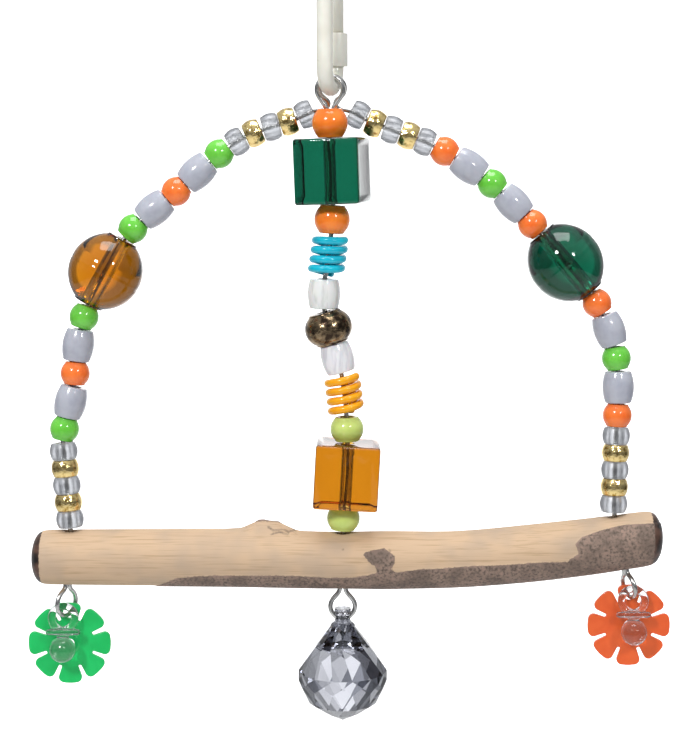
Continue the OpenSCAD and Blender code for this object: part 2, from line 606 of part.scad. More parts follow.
// The link: two bows, one whole bar, and one bar with a gate that the nut closes
module bow() {
    rotate([90, 0, 0]) rotate_extrude(angle = 180, $fn = 96)
        translate([bow_r, 0]) circle(d = link_bar_d, $fn = 48);
}
module bar(side, low, high, share) {
    translate([side * bow_r, 0, low]) cylinder(h = high - low, d = link_bar_d * share, $fn = 48);
}
module hanging_link() {
    color("ivory") rotate([0, 0, 90 - link_turn]) {
        translate([0, 0, upper_bow_z]) bow();
        translate([0, 0, lower_bow_z]) rotate([180, 0, 0]) bow();
        bar(-1, lower_bow_z, upper_bow_z, 1);
        bar(1, lower_bow_z, gate_low_z, 1);
        bar(1, gate_high_z, upper_bow_z, 1);
        for (z = [lower_bow_z, upper_bow_z], side = [-1, 1]) bar(side, z - lap, z + lap, core_share);
    }
}
module link_nut() {
    bore = link_bar_d + 2 * nut_play;
    point_r = nut_width / 2 / cos(30);
    round_r = (nut_width / 2 + point_r) / 2;
    color("ivory") translate(along_link * bow_r + [0, 0, nut_low_z]) difference() {
        intersection() {
            cylinder(h = nut_length, r = point_r, $fn = 6);
            cylinder(h = nut_length, r = round_r, $fn = 64);
        }
        translate([0, 0, -overrun]) cylinder(h = nut_length + 2 * overrun, d = bore, $fn = 48);
    }
}

module arch_wire() {
    color("silver") tube(arch_path, wire_d, wire_sides);
}
module center_wire() {
    color("silver") tube(center_path, wire_d, wire_sides);
}

module branch() {
    ends = len(end_shares);
    stations = concat(
        [for (q = end_shares) [perch_low_x + q[0] * perch_r, q[1]]],
        [for (i = [1:perch_rings - 2]) [perch_low_x + perch_length * i / (perch_rings - 1), 1]],
        [for (i = [ends - 1:-1:0]) [perch_high_x - end_shares[i][0] * perch_r, end_shares[i][1]]]);
    points = [for (q = stations, k = [0:perch_sides - 1])
        let (x = q[0], a = 90 + k * 360 / perch_sides, s = (x - perch_low_x) / perch_length,
            r = girth(s) * q[1] * (1 + ripple_share * sin(2 * a) * cos(360 * s))
                + knot(x, a > 270 ? a - 360 : a))
        [x, r * cos(a), axis_z + axis_rise(x) + r * sin(a)]];
    polyhedron(points, skin(len(stations), perch_sides), convexity = 4);
}
module hole(foot, way) {
    translate(foot - way * perch_d) rotate(tilt_of(way))
        cylinder(h = 3 * perch_d, d = perch_hole_d, $fn = 48);
}
module perch() {
    color("tan") difference() {
        branch();
        hole(left_foot, left_hole_way);
        hole(right_foot, right_hole_way);
        hole(middle_foot, drop_way);
    }
}

// The drop: rings of facets from the shoulder to the girdle and down to the point, as shares of
// its height, of its radius and of one facet's turn
drop_facets = 10;
drop_shares = [[0.125, 0.22, 0], [0.32, 0.61, 0.5], [0.56, 0.98, 0], [0.68, 1, 0.5], [0.84, 0.76, 0],
    [0.94, 0.32, 0.5]];
drop_wall = 1.1;
drop_hole_share = 0.22;
drop_hole = drop_eye_bottom + [0, 0, drop_hole_share * drop_hole_d];
drop_top_z = drop_hole[2] + drop_hole_d / 2 + drop_wall;
function drop_ring(q) = [for (k = [0:drop_facets - 1]) let (a = (k + q[2]) * 360 / drop_facets)
    [q[1] * drop_d / 2 * cos(a), q[1] * drop_d / 2 * sin(a), -q[0] * drop_height]];
module crystal_drop() {
    n = drop_facets;
    neck = drop_height * (drop_shares[0][0] + drop_shares[1][0]) / 2;
    points = concat([for (q = drop_shares) each drop_ring(q)], [[0, 0, -drop_height]]);
    last = (len(drop_shares) - 1) * n;
    bands = [for (i = [0:len(drop_shares) - 2], k = [0:n - 1])
        let (a = i * n + k, b = i * n + (k + 1) % n, up = drop_shares[i][2] == 0,
            c = (i + 1) * n + k, d = (i + 1) * n + (k + 1) % n)
        each (up ? [[a, b, c], [b, d, c]] : [[a, d, c], [a, b, d]])];
    faces = concat([for (k = [1:n - 2]) [0, k + 1, k]], bands,
        [for (k = [0:n - 1]) [last + k, last + (k + 1) % n, last + n]]);
    color("lightcyan") translate([drop_hole[0], drop_hole[1], drop_top_z]) difference() {
        union() {
            polyhedron(points, faces, convexity = 4);
            translate([0, 0, -neck]) cylinder(h = neck, d = drop_neck_d, $fn = 48);
        }
        translate([0, 0, drop_hole[2] - drop_top_z]) rotate([0, 90, 0])
            cylinder(h = drop_neck_d + overrun, d = drop_hole_d, center = true, $fn = 48);
    }
}

// A flower disc in its own plane: eight petals round a hub. The slots widen towards the rim and
// each petal's outer corners are rounded.
petals = 8;
flower_r = flower_d / 2;
petal_corner_r = 1.8;
hub_share = 0.6;
flower_hole_wall = 1.2;
flower_hole_reach = flower_r - flower_hole_wall - flower_hole_d / 2;
dome_r = flower_r * 0.25;
dome_height = 0.35;
module petal() {
    c = petal_corner_r;
    half = 180 / petals;
    side = half - atan((slot_rim_w - slot_w) / 2 / (flower_r * (1 - hub_share)));
    edge = half - asin(slot_rim_w / 2 / flower_r);
    middle = side - asin((flower_r * sin(side - edge) + c) / (flower_r - c));
    ball = (flower_r - c) * [cos(middle), sin(middle)];
    touch = ball + c * [-sin(side), cos(side)];
    foot = touch - [cos(side), sin(side)] * (flower_r * (1 - hub_share));
    rim = 2 * flower_r * [cos(middle), sin(middle)];
    polygon([[0, 0], [foot[0], -foot[1]], [touch[0], -touch[1]], [ball[0], -ball[1]],
        ball, touch, foot]);
    for (s = [-1, 1]) translate([ball[0], s * ball[1]]) circle(r = c, $fn = 40);
    intersection() {
        circle(r = flower_r, $fn = 160);
        polygon([[0, 0], [rim[0], -rim[1]], rim]);
    }
}
module flower(tint, domed) {
    color(tint) rotate([90, 0, 0]) difference() {
        union() {
            linear_extrude(flower_thick) {
                circle(r = flower_r * hub_share, $fn = 120);
                for (k = [0:petals - 1]) rotate(90 + k * 360 / petals) petal();
            }
            if (domed) translate([0, 0, flower_thick])
                cylinder(h = dome_height, r1 = dome_r, r2 = dome_r - dome_height, $fn = 64);
        }
        translate([0, 0, -overrun]) cylinder(h = flower_thick + 3 * overrun, d = flower_middle_d, $fn = 48);
        translate([0, flower_hole_reach, -overrun])
            cylinder(h = flower_thick + 3 * overrun, d = flower_hole_d, $fn = 48);
    }
}

// The ring of a pacifier hangs at the front of its eye and the flower at the back, side by side.
// Their places forward and back are counted from the eye's lowest point.
ring_minor = (ring_d - ring_hole_d) / 4;
ring_major = (ring_d + ring_hole_d) / 4;
hanger_depth = 2 * ring_minor + hanger_gap + flower_thick;
ring_top_y = ring_minor - hanger_depth / 2;
flower_back = hanger_depth / 2;
flower_front = flower_back - flower_thick;
// Height of an eye's wire over its lowest point, at a distance back or forward
function wire_rise(y, turn, r) = let (u = y / sin(turn)) r - sqrt(r * r - u * u);
// Extra height of a flower's hole over the wire's middle
flower_hole_lift = 0.4;
function flower_hole(bottom, turn, r) = let (y = flower_front + flower_thick / 2)
    bottom + [y / tan(turn), y,
        (wire_rise(flower_front, turn, r) + wire_rise(flower_back, turn, r)) / 2 + flower_hole_lift];
left_flower_hole = flower_hole(left_eye_bottom, left_eye_turn, left_eye_r);
right_flower_hole = flower_hole(right_eye_bottom, right_eye_turn, right_eye_r);
module set_flower(hole) {
    translate(hole + [0, flower_thick / 2, -flower_hole_reach]) children();
}
module left_flower() {
    set_flower(left_flower_hole) flower("springgreen", true);
}
module right_flower() {
    set_flower(right_flower_hole) flower("tomato", false);
}

// A pacifier: ring, guard, neck and bulb in one piece, drawn with its ring's middle at zero
pacifier_neck_d = 4;
module pacifier() {
    color("azure") {
        rotate([90, 0, 0]) rotate_extrude($fn = 96)
            translate([ring_major, 0]) circle(r = ring_minor, $fn = 48);
        translate([0, 0, -ring_rise]) guard();
        translate([0, 0, -bulb_drop]) cylinder(h = bulb_drop - ring_rise, d = pacifier_neck_d, $fn = 48);
        translate([0, 0, -bulb_drop]) sphere(d = bulb_d, $fn = 64);
    }
}
module guard() {
    end_r = guard_depth / 2;
    reach = guard_w / 2 - end_r;
    lip = guard_thick / 2;
    for (s = [-1, 1]) translate([s * reach, 0, 0]) {
        cylinder(h = guard_thick, r = end_r - lip, center = true, $fn = 64);
        rotate_extrude($fn = 64) translate([end_r - lip, 0]) circle(r = lip, $fn = 32);
    }
    cube([2 * reach, 2 * (end_r - lip), guard_thick], center = true);
    for (s = [-1, 1]) translate([0, s * (end_r - lip), 0]) rotate([0, 90, 0])
        cylinder(h = 2 * reach, r = lip, center = true, $fn = 48);
}
// The ring's top lies inside the eye, clear of the wire that rises before it
ring_room = wire_d / 2 + clearance + ring_ease + ring_minor;
function ring_seat(turn, r) = max([for (k = [-8:0]) let (y = k * r * sin(turn) / 8.5,
        x = (y - ring_top_y) / tan(turn), sag = ring_major - sqrt(ring_major * ring_major - x * x),
        room = ring_room * ring_room - pow(y - ring_top_y, 2))
    room > 0 ? wire_rise(y, turn, r) + sqrt(room) + sag : 0]);
function ring_centre(bottom, turn, r) = bottom + [ring_top_y / tan(turn),
    ring_top_y - ring_major * sin(pacifier_lean),
    ring_seat(turn, r) - ring_major * cos(pacifier_lean)];
left_ring = ring_centre(left_eye_bottom, left_eye_turn, left_eye_r);
right_ring = ring_centre(right_eye_bottom, right_eye_turn, right_eye_r);
module left_pacifier() {
    translate(left_ring) rotate([-pacifier_lean, 0, 0]) pacifier();
}
module right_pacifier() {
    translate(right_ring) rotate([-pacifier_lean, 0, 0]) pacifier();
}

// Turn of each piece of the middle strand about the wire
strand_turns = [0, green_cube_turn, 0, coil_start, 0, 0, 0, coil_start, 0, 0, 0];

// A row's node: one bead, or all the beads of one kind on the leg
module row_node(row, tables, places, k) {
    if (k < upper_count) row_piece(row, tables, places, k);
    else for (i = [k:2:len(row) - 1]) row_piece(row, tables, places, i);
}

// The lines that the other pieces move on
echo(moves = [["swing", [0, 0, lower_bow_z], across_link], ["nut", nut_low_z, nut_travel],
    ["drop", drop_hole], ["flowers", left_flower_hole, right_flower_hole],
    ["pacifiers", left_ring, right_ring, pacifier_lean], ["feet", left_foot, right_foot, middle_foot]]);

hanging_link();
link_nut();
arch_wire();
center_wire();
perch();
crystal_drop();
left_flower();
right_flower();
left_pacifier();
right_pacifier();
for (i = [0:len(center_names) - 1])
    row_piece(center_row, middle_tables, center_places, i, strand_turns[i]);
for (i = [0:len(left_names) - 1])
    row_node(left_row, left_tables, left_places, i);
for (i = [0:len(right_names) - 1])
    row_node(right_row, right_tables, right_places, i);
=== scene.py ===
"""Bird swing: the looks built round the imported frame.

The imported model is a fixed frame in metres. Each class stands for one sub-assembly of the swing: it
measures its own CAD nodes, models the pieces that replace them with Blender's mesh operators, and
dresses them in procedural finishes. A piece stays where its node is and rides on the node's body.
"""

from __future__ import annotations

import json
import logging
import math
from collections.abc import Iterator, Sequence
from contextlib import contextmanager
from dataclasses import dataclass, field
from enum import Enum
from typing import Any

import bmesh
import bpy
from mathutils import Matrix, Vector
from mathutils.geometry import intersect_point_line

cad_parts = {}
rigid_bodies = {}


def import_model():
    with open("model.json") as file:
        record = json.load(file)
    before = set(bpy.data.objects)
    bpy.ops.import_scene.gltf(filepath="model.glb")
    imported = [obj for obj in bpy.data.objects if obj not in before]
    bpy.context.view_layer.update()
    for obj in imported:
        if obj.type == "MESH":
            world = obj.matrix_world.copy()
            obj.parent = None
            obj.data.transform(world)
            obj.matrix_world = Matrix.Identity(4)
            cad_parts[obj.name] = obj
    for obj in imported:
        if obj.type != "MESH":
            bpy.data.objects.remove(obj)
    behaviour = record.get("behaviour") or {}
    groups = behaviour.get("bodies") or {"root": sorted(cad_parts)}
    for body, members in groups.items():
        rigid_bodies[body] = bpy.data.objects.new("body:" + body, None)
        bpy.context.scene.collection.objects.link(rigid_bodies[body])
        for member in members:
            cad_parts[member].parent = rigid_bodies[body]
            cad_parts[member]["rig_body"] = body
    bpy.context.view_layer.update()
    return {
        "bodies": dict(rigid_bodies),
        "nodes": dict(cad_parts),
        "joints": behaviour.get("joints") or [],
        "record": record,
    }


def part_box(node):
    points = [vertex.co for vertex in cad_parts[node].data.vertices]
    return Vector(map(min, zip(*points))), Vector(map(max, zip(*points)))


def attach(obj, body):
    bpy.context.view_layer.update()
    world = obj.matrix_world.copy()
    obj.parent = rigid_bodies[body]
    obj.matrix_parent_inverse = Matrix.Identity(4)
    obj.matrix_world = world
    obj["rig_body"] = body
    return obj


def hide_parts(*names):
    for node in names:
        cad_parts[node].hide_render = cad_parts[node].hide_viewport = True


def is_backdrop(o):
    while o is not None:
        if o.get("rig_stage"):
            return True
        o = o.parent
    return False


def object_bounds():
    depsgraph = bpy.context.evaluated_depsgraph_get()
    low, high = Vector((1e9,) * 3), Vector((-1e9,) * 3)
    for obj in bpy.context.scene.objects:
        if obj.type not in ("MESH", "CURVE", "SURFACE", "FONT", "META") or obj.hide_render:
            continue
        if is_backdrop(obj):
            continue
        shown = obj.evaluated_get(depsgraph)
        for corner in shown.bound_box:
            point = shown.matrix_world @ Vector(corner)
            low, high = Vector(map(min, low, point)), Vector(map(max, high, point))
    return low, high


MM = 0.001
LOG = logging.getLogger("bird_swing")
Colour = tuple[float, float, float, float]
Point = tuple[float, float]
Stops = Sequence[tuple[float, str]]
Item = bpy.types.Object
Node = bpy.types.Node
Socket = bpy.types.NodeSocket
Tree = bpy.types.NodeTree


def linear(hex_colour: str) -> Colour:
    """Turns an sRGB hex colour into the linear values that shaders take.

    Args:
        hex_colour: six hex digits after a hash sign.

    Returns:
        Red, green, blue and an alpha of one.
    """
    channels = [int(hex_colour[i : i + 2], 16) / 255 for i in (1, 3, 5)]
    red, green, blue = (
        c / 12.92 if c <= 0.04045 else ((c + 0.055) / 1.055) ** 2.4 for c in channels
    )
    return red, green, blue, 1.0


def per_mm(size_mm: float) -> float:
    """Gives the texture scale at which a pattern's features are size_mm across."""
    return 1 / (size_mm * MM)


def add_node(
    tree: Tree,
    kind: str,
    inputs: dict[str | int, Any] | None = None,
    stops: Stops = (),
    **settings: Any,
) -> Node:
    """Adds a shader node with its settings, values and links.

    Args:
        tree: the node tree of a material or of the world.
        kind: the node's type name after "ShaderNode".
        inputs: for each input socket, a value, an output socket, or a node whose first output is
            meant.
        stops: position and hex colour of each stop of a colour ramp, in rising order.
        settings: attributes of the node itself.

    Returns:
        The new node.
    """
    node = tree.nodes.new(f"ShaderNode{kind}")
    for name, value in settings.items():
        setattr(node, name, value)
    for socket, value in (inputs or {}).items():
        if isinstance(value, Node):
            value = value.outputs[0]
        if isinstance(value, Socket):
            tree.links.new(value, node.inputs[socket])
        else:
            node.inputs[socket].default_value = value
    for k, (position, colour) in enumerate(stops):
        elements = node.color_ramp.elements
        stop = elements[k] if k < len(elements) else elements.new(position)
        stop.position = position
        stop.color = linear(colour)
    return node


@dataclass(frozen=True)
class Finish:
    """What a surface is made of and how it looks.

    A finish gives its own nodes in dress(). Sizes of patterns are in millimetres of the real thing.
    """

    name: str

    def material(self) -> bpy.types.Material:
        """Builds this finish once, and gives the same material after that.

        Returns:
            The material.
        """
        if self.name in bpy.data.materials:
            return bpy.data.materials[self.name]
        made = bpy.data.materials.new(self.name)
        made.use_nodes = True
        tree = made.node_tree
        tree.nodes.clear()
        place = add_node(tree, "TexCoord").outputs["Object"]
        skin = add_node(tree, "BsdfPrincipled", self.dress(tree, place))
        add_node(tree, "OutputMaterial", {"Surface": skin, **self.inside(tree)})
        return made

    def dress(self, tree: Tree, place: Socket) -> dict[str, Any]:
        """Adds this finish's textures.

        Args:
            tree: the material's node tree.
            place: the piece's Object coordinates.

        Returns:
            The inputs of the skin's shader.
        """
        raise NotImplementedError

    def inside(self, tree: Tree) -> dict[str, Node]:
        """Gives what the material's output takes besides the skin: here nothing."""
        return {}


@dataclass(frozen=True)
class MouldedPlastic(Finish):
    """Injection-moulded plastic: opaque and glossy, with a faint flow mottle.

    The skin is smooth, with a slight orange peel that breaks up the highlights' edges.
    """

    colour: str
    shade: str
    roughness: float = 0.16
    mottle_mm: float = 3.5
    peel_mm: float = 1.1
    peel_depth_mm: float = 0.02
    glow: float = 0.05
    glow_mm: float = 2.0

    def dress(self, tree: Tree, place: Socket) -> dict[str, Any]:
        """Mixes two tints by a slow noise and gives the skin its orange peel.

        Args:
            tree: the material's node tree.
            place: the piece's Object coordinates.

        Returns:
            The inputs of the skin's shader.
        """
        mottle = add_node(tree, "TexNoise", {"Vector": place, "Scale": per_mm(self.mottle_mm)})
        tint = add_node(
            tree, "ValToRGB", {"Fac": mottle}, stops=[(0.35, self.shade), (0.62, self.colour)]
        )
        rough = add_node(
            tree,
            "MapRange",
            {"Value": mottle, "To Min": self.roughness * 0.75, "To Max": self.roughness * 1.3},
        )
        peel = add_node(tree, "TexNoise", {"Vector": place, "Scale": per_mm(self.peel_mm)})
        bump = add_node(
            tree, "Bump", {"Height": peel, "Strength": 0.35, "Distance": self.peel_depth_mm * MM}
        )
        return {
            "Base Color": tint,
            "Roughness": rough,
            "Normal": bump,
            "IOR": 1.5,
            "Subsurface Weight": self.glow,
            "Subsurface Scale": self.glow_mm * MM,
            "Coat Weight": 0.25,
            "Coat Roughness": 0.08,
        }


@dataclass(frozen=True)
class PearlPlastic(Finish):
    """Pearlescent moulded plastic: white with faint lengthways streaks and a cool sheen."""

    colour: str
    streak: str
    streak_mm: float = 1.3
    streak_length_mm: float = 9.0
    streak_depth_mm: float = 0.04
    glow_mm: float = 1.5

    def dress(self, tree: Tree, place: Socket) -> dict[str, Any]:
        """Stretches a noise along the strand for the streaks of the pearl pigment.

        Args:
            tree: the material's node tree.
            place: the piece's Object coordinates.

        Returns:
            The inputs of the skin's shader.
        """
        stretch = (1.0, 1.0, self.streak_mm / self.streak_length_mm)
        stretched = add_node(tree, "Mapping", {"Vector": place, "Scale": stretch})
        streaks = add_node(
            tree, "TexNoise", {"Vector": stretched, "Scale": per_mm(self.streak_mm), "Detail": 4.0}
        )
        tint = add_node(
            tree, "ValToRGB", {"Fac": streaks}, stops=[(0.38, self.streak), (0.56, self.colour)]
        )
        bump = add_node(
            tree,
            "Bump",
            {"Height": streaks, "Strength": 0.25, "Distance": self.streak_depth_mm * MM},
        )
        return {
            "Base Color": tint,
            "Roughness": 0.14,
            "IOR": 1.55,
            "Normal": bump,
            "Subsurface Weight": 0.2,
            "Subsurface Scale": self.glow_mm * MM,
            "Coat Weight": 0.6,
            "Coat Roughness": 0.05,
            "Sheen Weight": 0.15,
        }


@dataclass(frozen=True)
class ClearAcrylic(Finish):
    """Clear moulded plastic: transparent, coloured through its depth, with faint flow waves.

    A cut piece gets painted reflections: a mesh attribute mixes in its shade facet by facet.
    """

    tint: str
    depth_colour: str
    density: float
    roughness: float = 0.02
    wave_mm: float = 4.0
    wave_depth_mm: float = 0.05
    # Colour of the painted reflections that darken a cut piece's facets.
    shade: str = ""

    def dress(self, tree: Tree, place: Socket) -> dict[str, Any]:
        """Gives the skin faint waves, which bend what shows through it.

        Args:
            tree: the material's node tree.
            place: the piece's Object coordinates.

        Returns:
            The inputs of the skin's shader.
        """
        waves = add_node(
            tree, "TexNoise", {"Vector": place, "Scale": per_mm(self.wave_mm), "Detail": 1.0}
        )
        bump = add_node(
            tree, "Bump", {"Height": waves, "Strength": 0.5, "Distance": self.wave_depth_mm * MM}
        )
        return {
            # A cut piece's colour holds painted reflections, facet by facet.
            "Base Color": self.facets(tree) if self.shade else linear(self.tint),
            "Roughness": self.roughness,
            "IOR": 1.49,
            "Transmission Weight": 1.0,
            "Normal": bump,
        }

    def inside(self, tree: Tree) -> dict[str, Node]:
        """Absorbs light inside, so thick places are darker and deeper in colour."""
        inputs = {"Color": linear(self.depth_colour), "Density": self.density}
        return {"Volume": add_node(tree, "VolumeAbsorption", inputs)}

    def facets(self, tree: Tree) -> Node:
        """Paints a reflection on each facet of a cut piece, between its tint and its shade.

        Args:
            tree: the material's node tree.

        Returns:
            The node that carries the colour.
        """
        tone = add_node(tree, "Attribute", attribute_name="facet_painted_reflection").outputs["Fac"]
        return add_node(
            tree, "ValToRGB", {"Fac": tone}, stops=[(0.25, self.tint), (0.85, self.shade)]
        )


@dataclass(frozen=True)
class MetallisedPlastic(Finish):
    """Vacuum-metallised plastic: a mirror of metal over a skin that is never quite even."""

    colour: str
    stain: str
    dent_mm: float = 1.6
    dent_depth_mm: float = 0.12
    roughness: float = 0.14
    stain_from: float = 0.32
    stain_to: float = 0.5

    def dress(self, tree: Tree, place: Socket) -> dict[str, Any]:
        """Dents the mirror and gives it a second, darker colour in the dents.

        Args:
            tree: the material's node tree.
            place: the piece's Object coordinates.

        Returns:
            The inputs of the skin's shader.
        """
        dents = add_node(
            tree, "TexNoise", {"Vector": place, "Scale": per_mm(self.dent_mm), "Detail": 3.0}
        )
        stops = [(self.stain_from, self.stain), (self.stain_to, self.colour)]
        tint = add_node(tree, "ValToRGB", {"Fac": dents}, stops=stops)
        bump = add_node(
            tree, "Bump", {"Height": dents, "Strength": 0.8, "Distance": self.dent_depth_mm * MM}
        )
        return {"Base Color": tint, "Metallic": 1.0, "Roughness": self.roughness, "Normal": bump}


@dataclass(frozen=True)
class DrawnWire(Finish):
    """Bright galvanised steel wire: drawn through a die, so it is smooth with dull patches."""

    colour: str = "#DAD9D6"
    patch: str = "#B0AEAB"
    patch_mm: float = 2.0
    dull: float = 0.34
    bright: float = 0.16

    def dress(self, tree: Tree, place: Socket) -> dict[str, Any]:
        """Varies the zinc's tone and its roughness by one slow noise.

        Args:
            tree: the material's node tree.
            place: the piece's Object coordinates.

        Returns:
            The inputs of the skin's shader.
        """
        patches = add_node(
            tree, "TexNoise", {"Vector": place, "Scale": per_mm(self.patch_mm), "Detail": 3.0}
        )
        tint = add_node(
            tree, "ValToRGB", {"Fac": patches}, stops=[(0.35, self.patch), (0.6, self.colour)]
        )
        rough = add_node(
            tree, "MapRange", {"Value": patches, "To Min": self.dull, "To Max": self.bright}
        )
        return {"Base Color": tint, "Metallic": 1.0, "Roughness": rough}


@dataclass(frozen=True)
class NaturalBranch(Finish):
    """A peeled branch: pale sapwood with fine grain, grey-brown bark and dark sealed ends.

    Three attributes of the mesh say how far a point lies inside the bark, inside an end and from a
    crack or knot, in millimetres.
    """

    wood: str = "#D0B292"
    wood_dark: str = "#B89A78"
    wood_grey: str = "#B8A28C"
    bark: str = "#8F7A6C"
    bark_dark: str = "#5E5148"
    bark_warm: str = "#A18577"
    end: str = "#5E4438"
    end_dark: str = "#1E1A18"
    grain_mm: float = 0.55
    grain_length_mm: float = 16.0
    cloud_mm: float = 14.0
    crumb_mm: float = 0.9
    patch_mm: float = 6.0
    relief_mm: float = 0.12

    def dress(self, tree: Tree, place: Socket) -> dict[str, Any]:
        """Layers wood, bark, ends and marks by the mesh's own distances.

        Args:
            tree: the material's node tree.
            place: the piece's Object coordinates.

        Returns:
            The inputs of the skin's shader.
        """
        stretch = (self.grain_mm / self.grain_length_mm, 1.0, 1.0)
        along = add_node(tree, "Mapping", {"Vector": place, "Scale": stretch})
        grain, cloud, crumbs, patches = (
            add_node(tree, "TexNoise", {"Vector": where, "Scale": per_mm(size), "Detail": detail})
            for where, size, detail in (
                (along, self.grain_mm, 5.0),
                (place, self.cloud_mm, 2.0),
                (place, self.crumb_mm, 6.0),
                (place, self.patch_mm, 3.0),
            )
        )
        stops = [(0.3, self.wood_dark), (0.47, self.wood), (0.75, self.wood)]
        wood = add_node(tree, "ValToRGB", {"Fac": grain}, stops=stops)
        stops = [(0.34, self.bark_dark), (0.5, self.bark), (0.68, self.bark_warm)]
        bark = add_node(tree, "ValToRGB", {"Fac": crumbs}, stops=stops)
        stops = [(0.42, self.end_dark), (0.6, self.end)]
        sealed = add_node(tree, "ValToRGB", {"Fac": patches}, stops=stops)
        greyed = add_node(tree, "MapRange", {"Value": cloud, "From Min": 0.45, "From Max": 0.75})
        darkened = add_node(
            tree, "MapRange", {"Value": patches, "From Min": 0.42, "From Max": 0.62, "To Max": 0.55}
        )
        dark_bark = linear(self.bark_dark)
        bark_tone = self.laid_over(tree, bark, dark_bark, darkened)
        in_bark = self.covered(tree, crumbs, "bark_mm", -0.12, 0.12)
        in_mark = self.covered(tree, crumbs, "mark_mm", -0.5, 0.25)
        in_end = self.covered(tree, crumbs, "end_mm", -0.1, 0.1)
        colour = self.laid_over(tree, wood, linear(self.wood_grey), greyed)
        for layer, share in ((bark_tone, in_bark), (dark_bark, in_mark), (sealed, in_end)):
            colour = self.laid_over(tree, colour, layer, share)
        height = add_node(tree, "Mix", {"Factor": in_bark, "A": grain, "B": crumbs})
        bump = add_node(
            tree,
            "Bump",
            {"Height": height, "Strength": 0.6, "Distance": self.relief_mm * MM},
        )
        rough = add_node(tree, "MapRange", {"Value": in_end, "To Min": 0.72, "To Max": 0.38})
        return {"Base Color": colour, "Roughness": rough, "Normal": bump, "IOR": 1.45}

    def laid_over(self, tree: Tree, under: Any, over: Any, share: Node) -> Socket:
        """Lays one colour over another.

        Args:
            tree: the material's node tree.
            under: the colour below.
            over: the colour on top.
            share: how much of the one on top shows.

        Returns:
            The socket of the mixed colour.
        """
        inputs = {"Factor": share, "A": under, "B": over}
        return add_node(tree, "Mix", inputs, data_type="RGBA").outputs["Result"]

    def covered(self, tree: Tree, crumbs: Node, attribute: str, low: float, high: float) -> Node:
        """Gives the share of a layer at a point, with a ragged edge.

        Args:
            tree: the material's node tree.
            crumbs: the noise that frays the edge.
            attribute: the mesh's distance inside the layer, in millimetres.
            low: the distance at which the layer starts to show.
            high: the distance from which it covers all.

        Returns:
            The node that carries the share.
        """
        ragged = add_node(tree, "MapRange", {"Value": crumbs, "To Min": -0.5, "To Max": 0.5})
        distance = add_node(tree, "Attribute", attribute_name=attribute).outputs["Fac"]
        moved = add_node(tree, "Math", {0: distance, 1: ragged}, operation="ADD")
        return add_node(tree, "MapRange", {"Value": moved, "From Min": low, "From Max": high})


@dataclass(frozen=True)
class LitSheet(Finish):
    """Matt white acrylic sheet for the floor and backdrop, with a lit field behind the swing.

    A lit field that only fills the picture gives clear pieces their dark edges.
    """

    colour: str = "#F4F4F4"
    glow: float = 1.05
    field_centre: tuple[float, float, float] = (0.0, 2.0, 0.55)
    field_reach: float = 0.44
    field_edge: float = 0.12

    def dress(self, tree: Tree, place: Socket) -> dict[str, Any]:
        """Uses a plain rough white that glows round the middle of the picture.

        Args:
            tree: the material's node tree.
            place: the sheet's Object coordinates.

        Returns:
            The inputs of the skin's shader.
        """
        away = add_node(
            tree, "VectorMath", {0: place, 1: self.field_centre}, operation="DISTANCE"
        ).outputs["Value"]
        glow = add_node(
            tree,
            "MapRange",
            {
                "Value": away,
                "From Min": self.field_reach,
                "From Max": self.field_reach + self.field_edge,
                "To Min": self.glow,
                "To Max": 0.0,
            },
        )
        return {
            "Base Color": linear(self.colour),
            "Roughness": 0.9,
            "Emission Color": linear(self.colour),
            "Emission Strength": glow,
        }


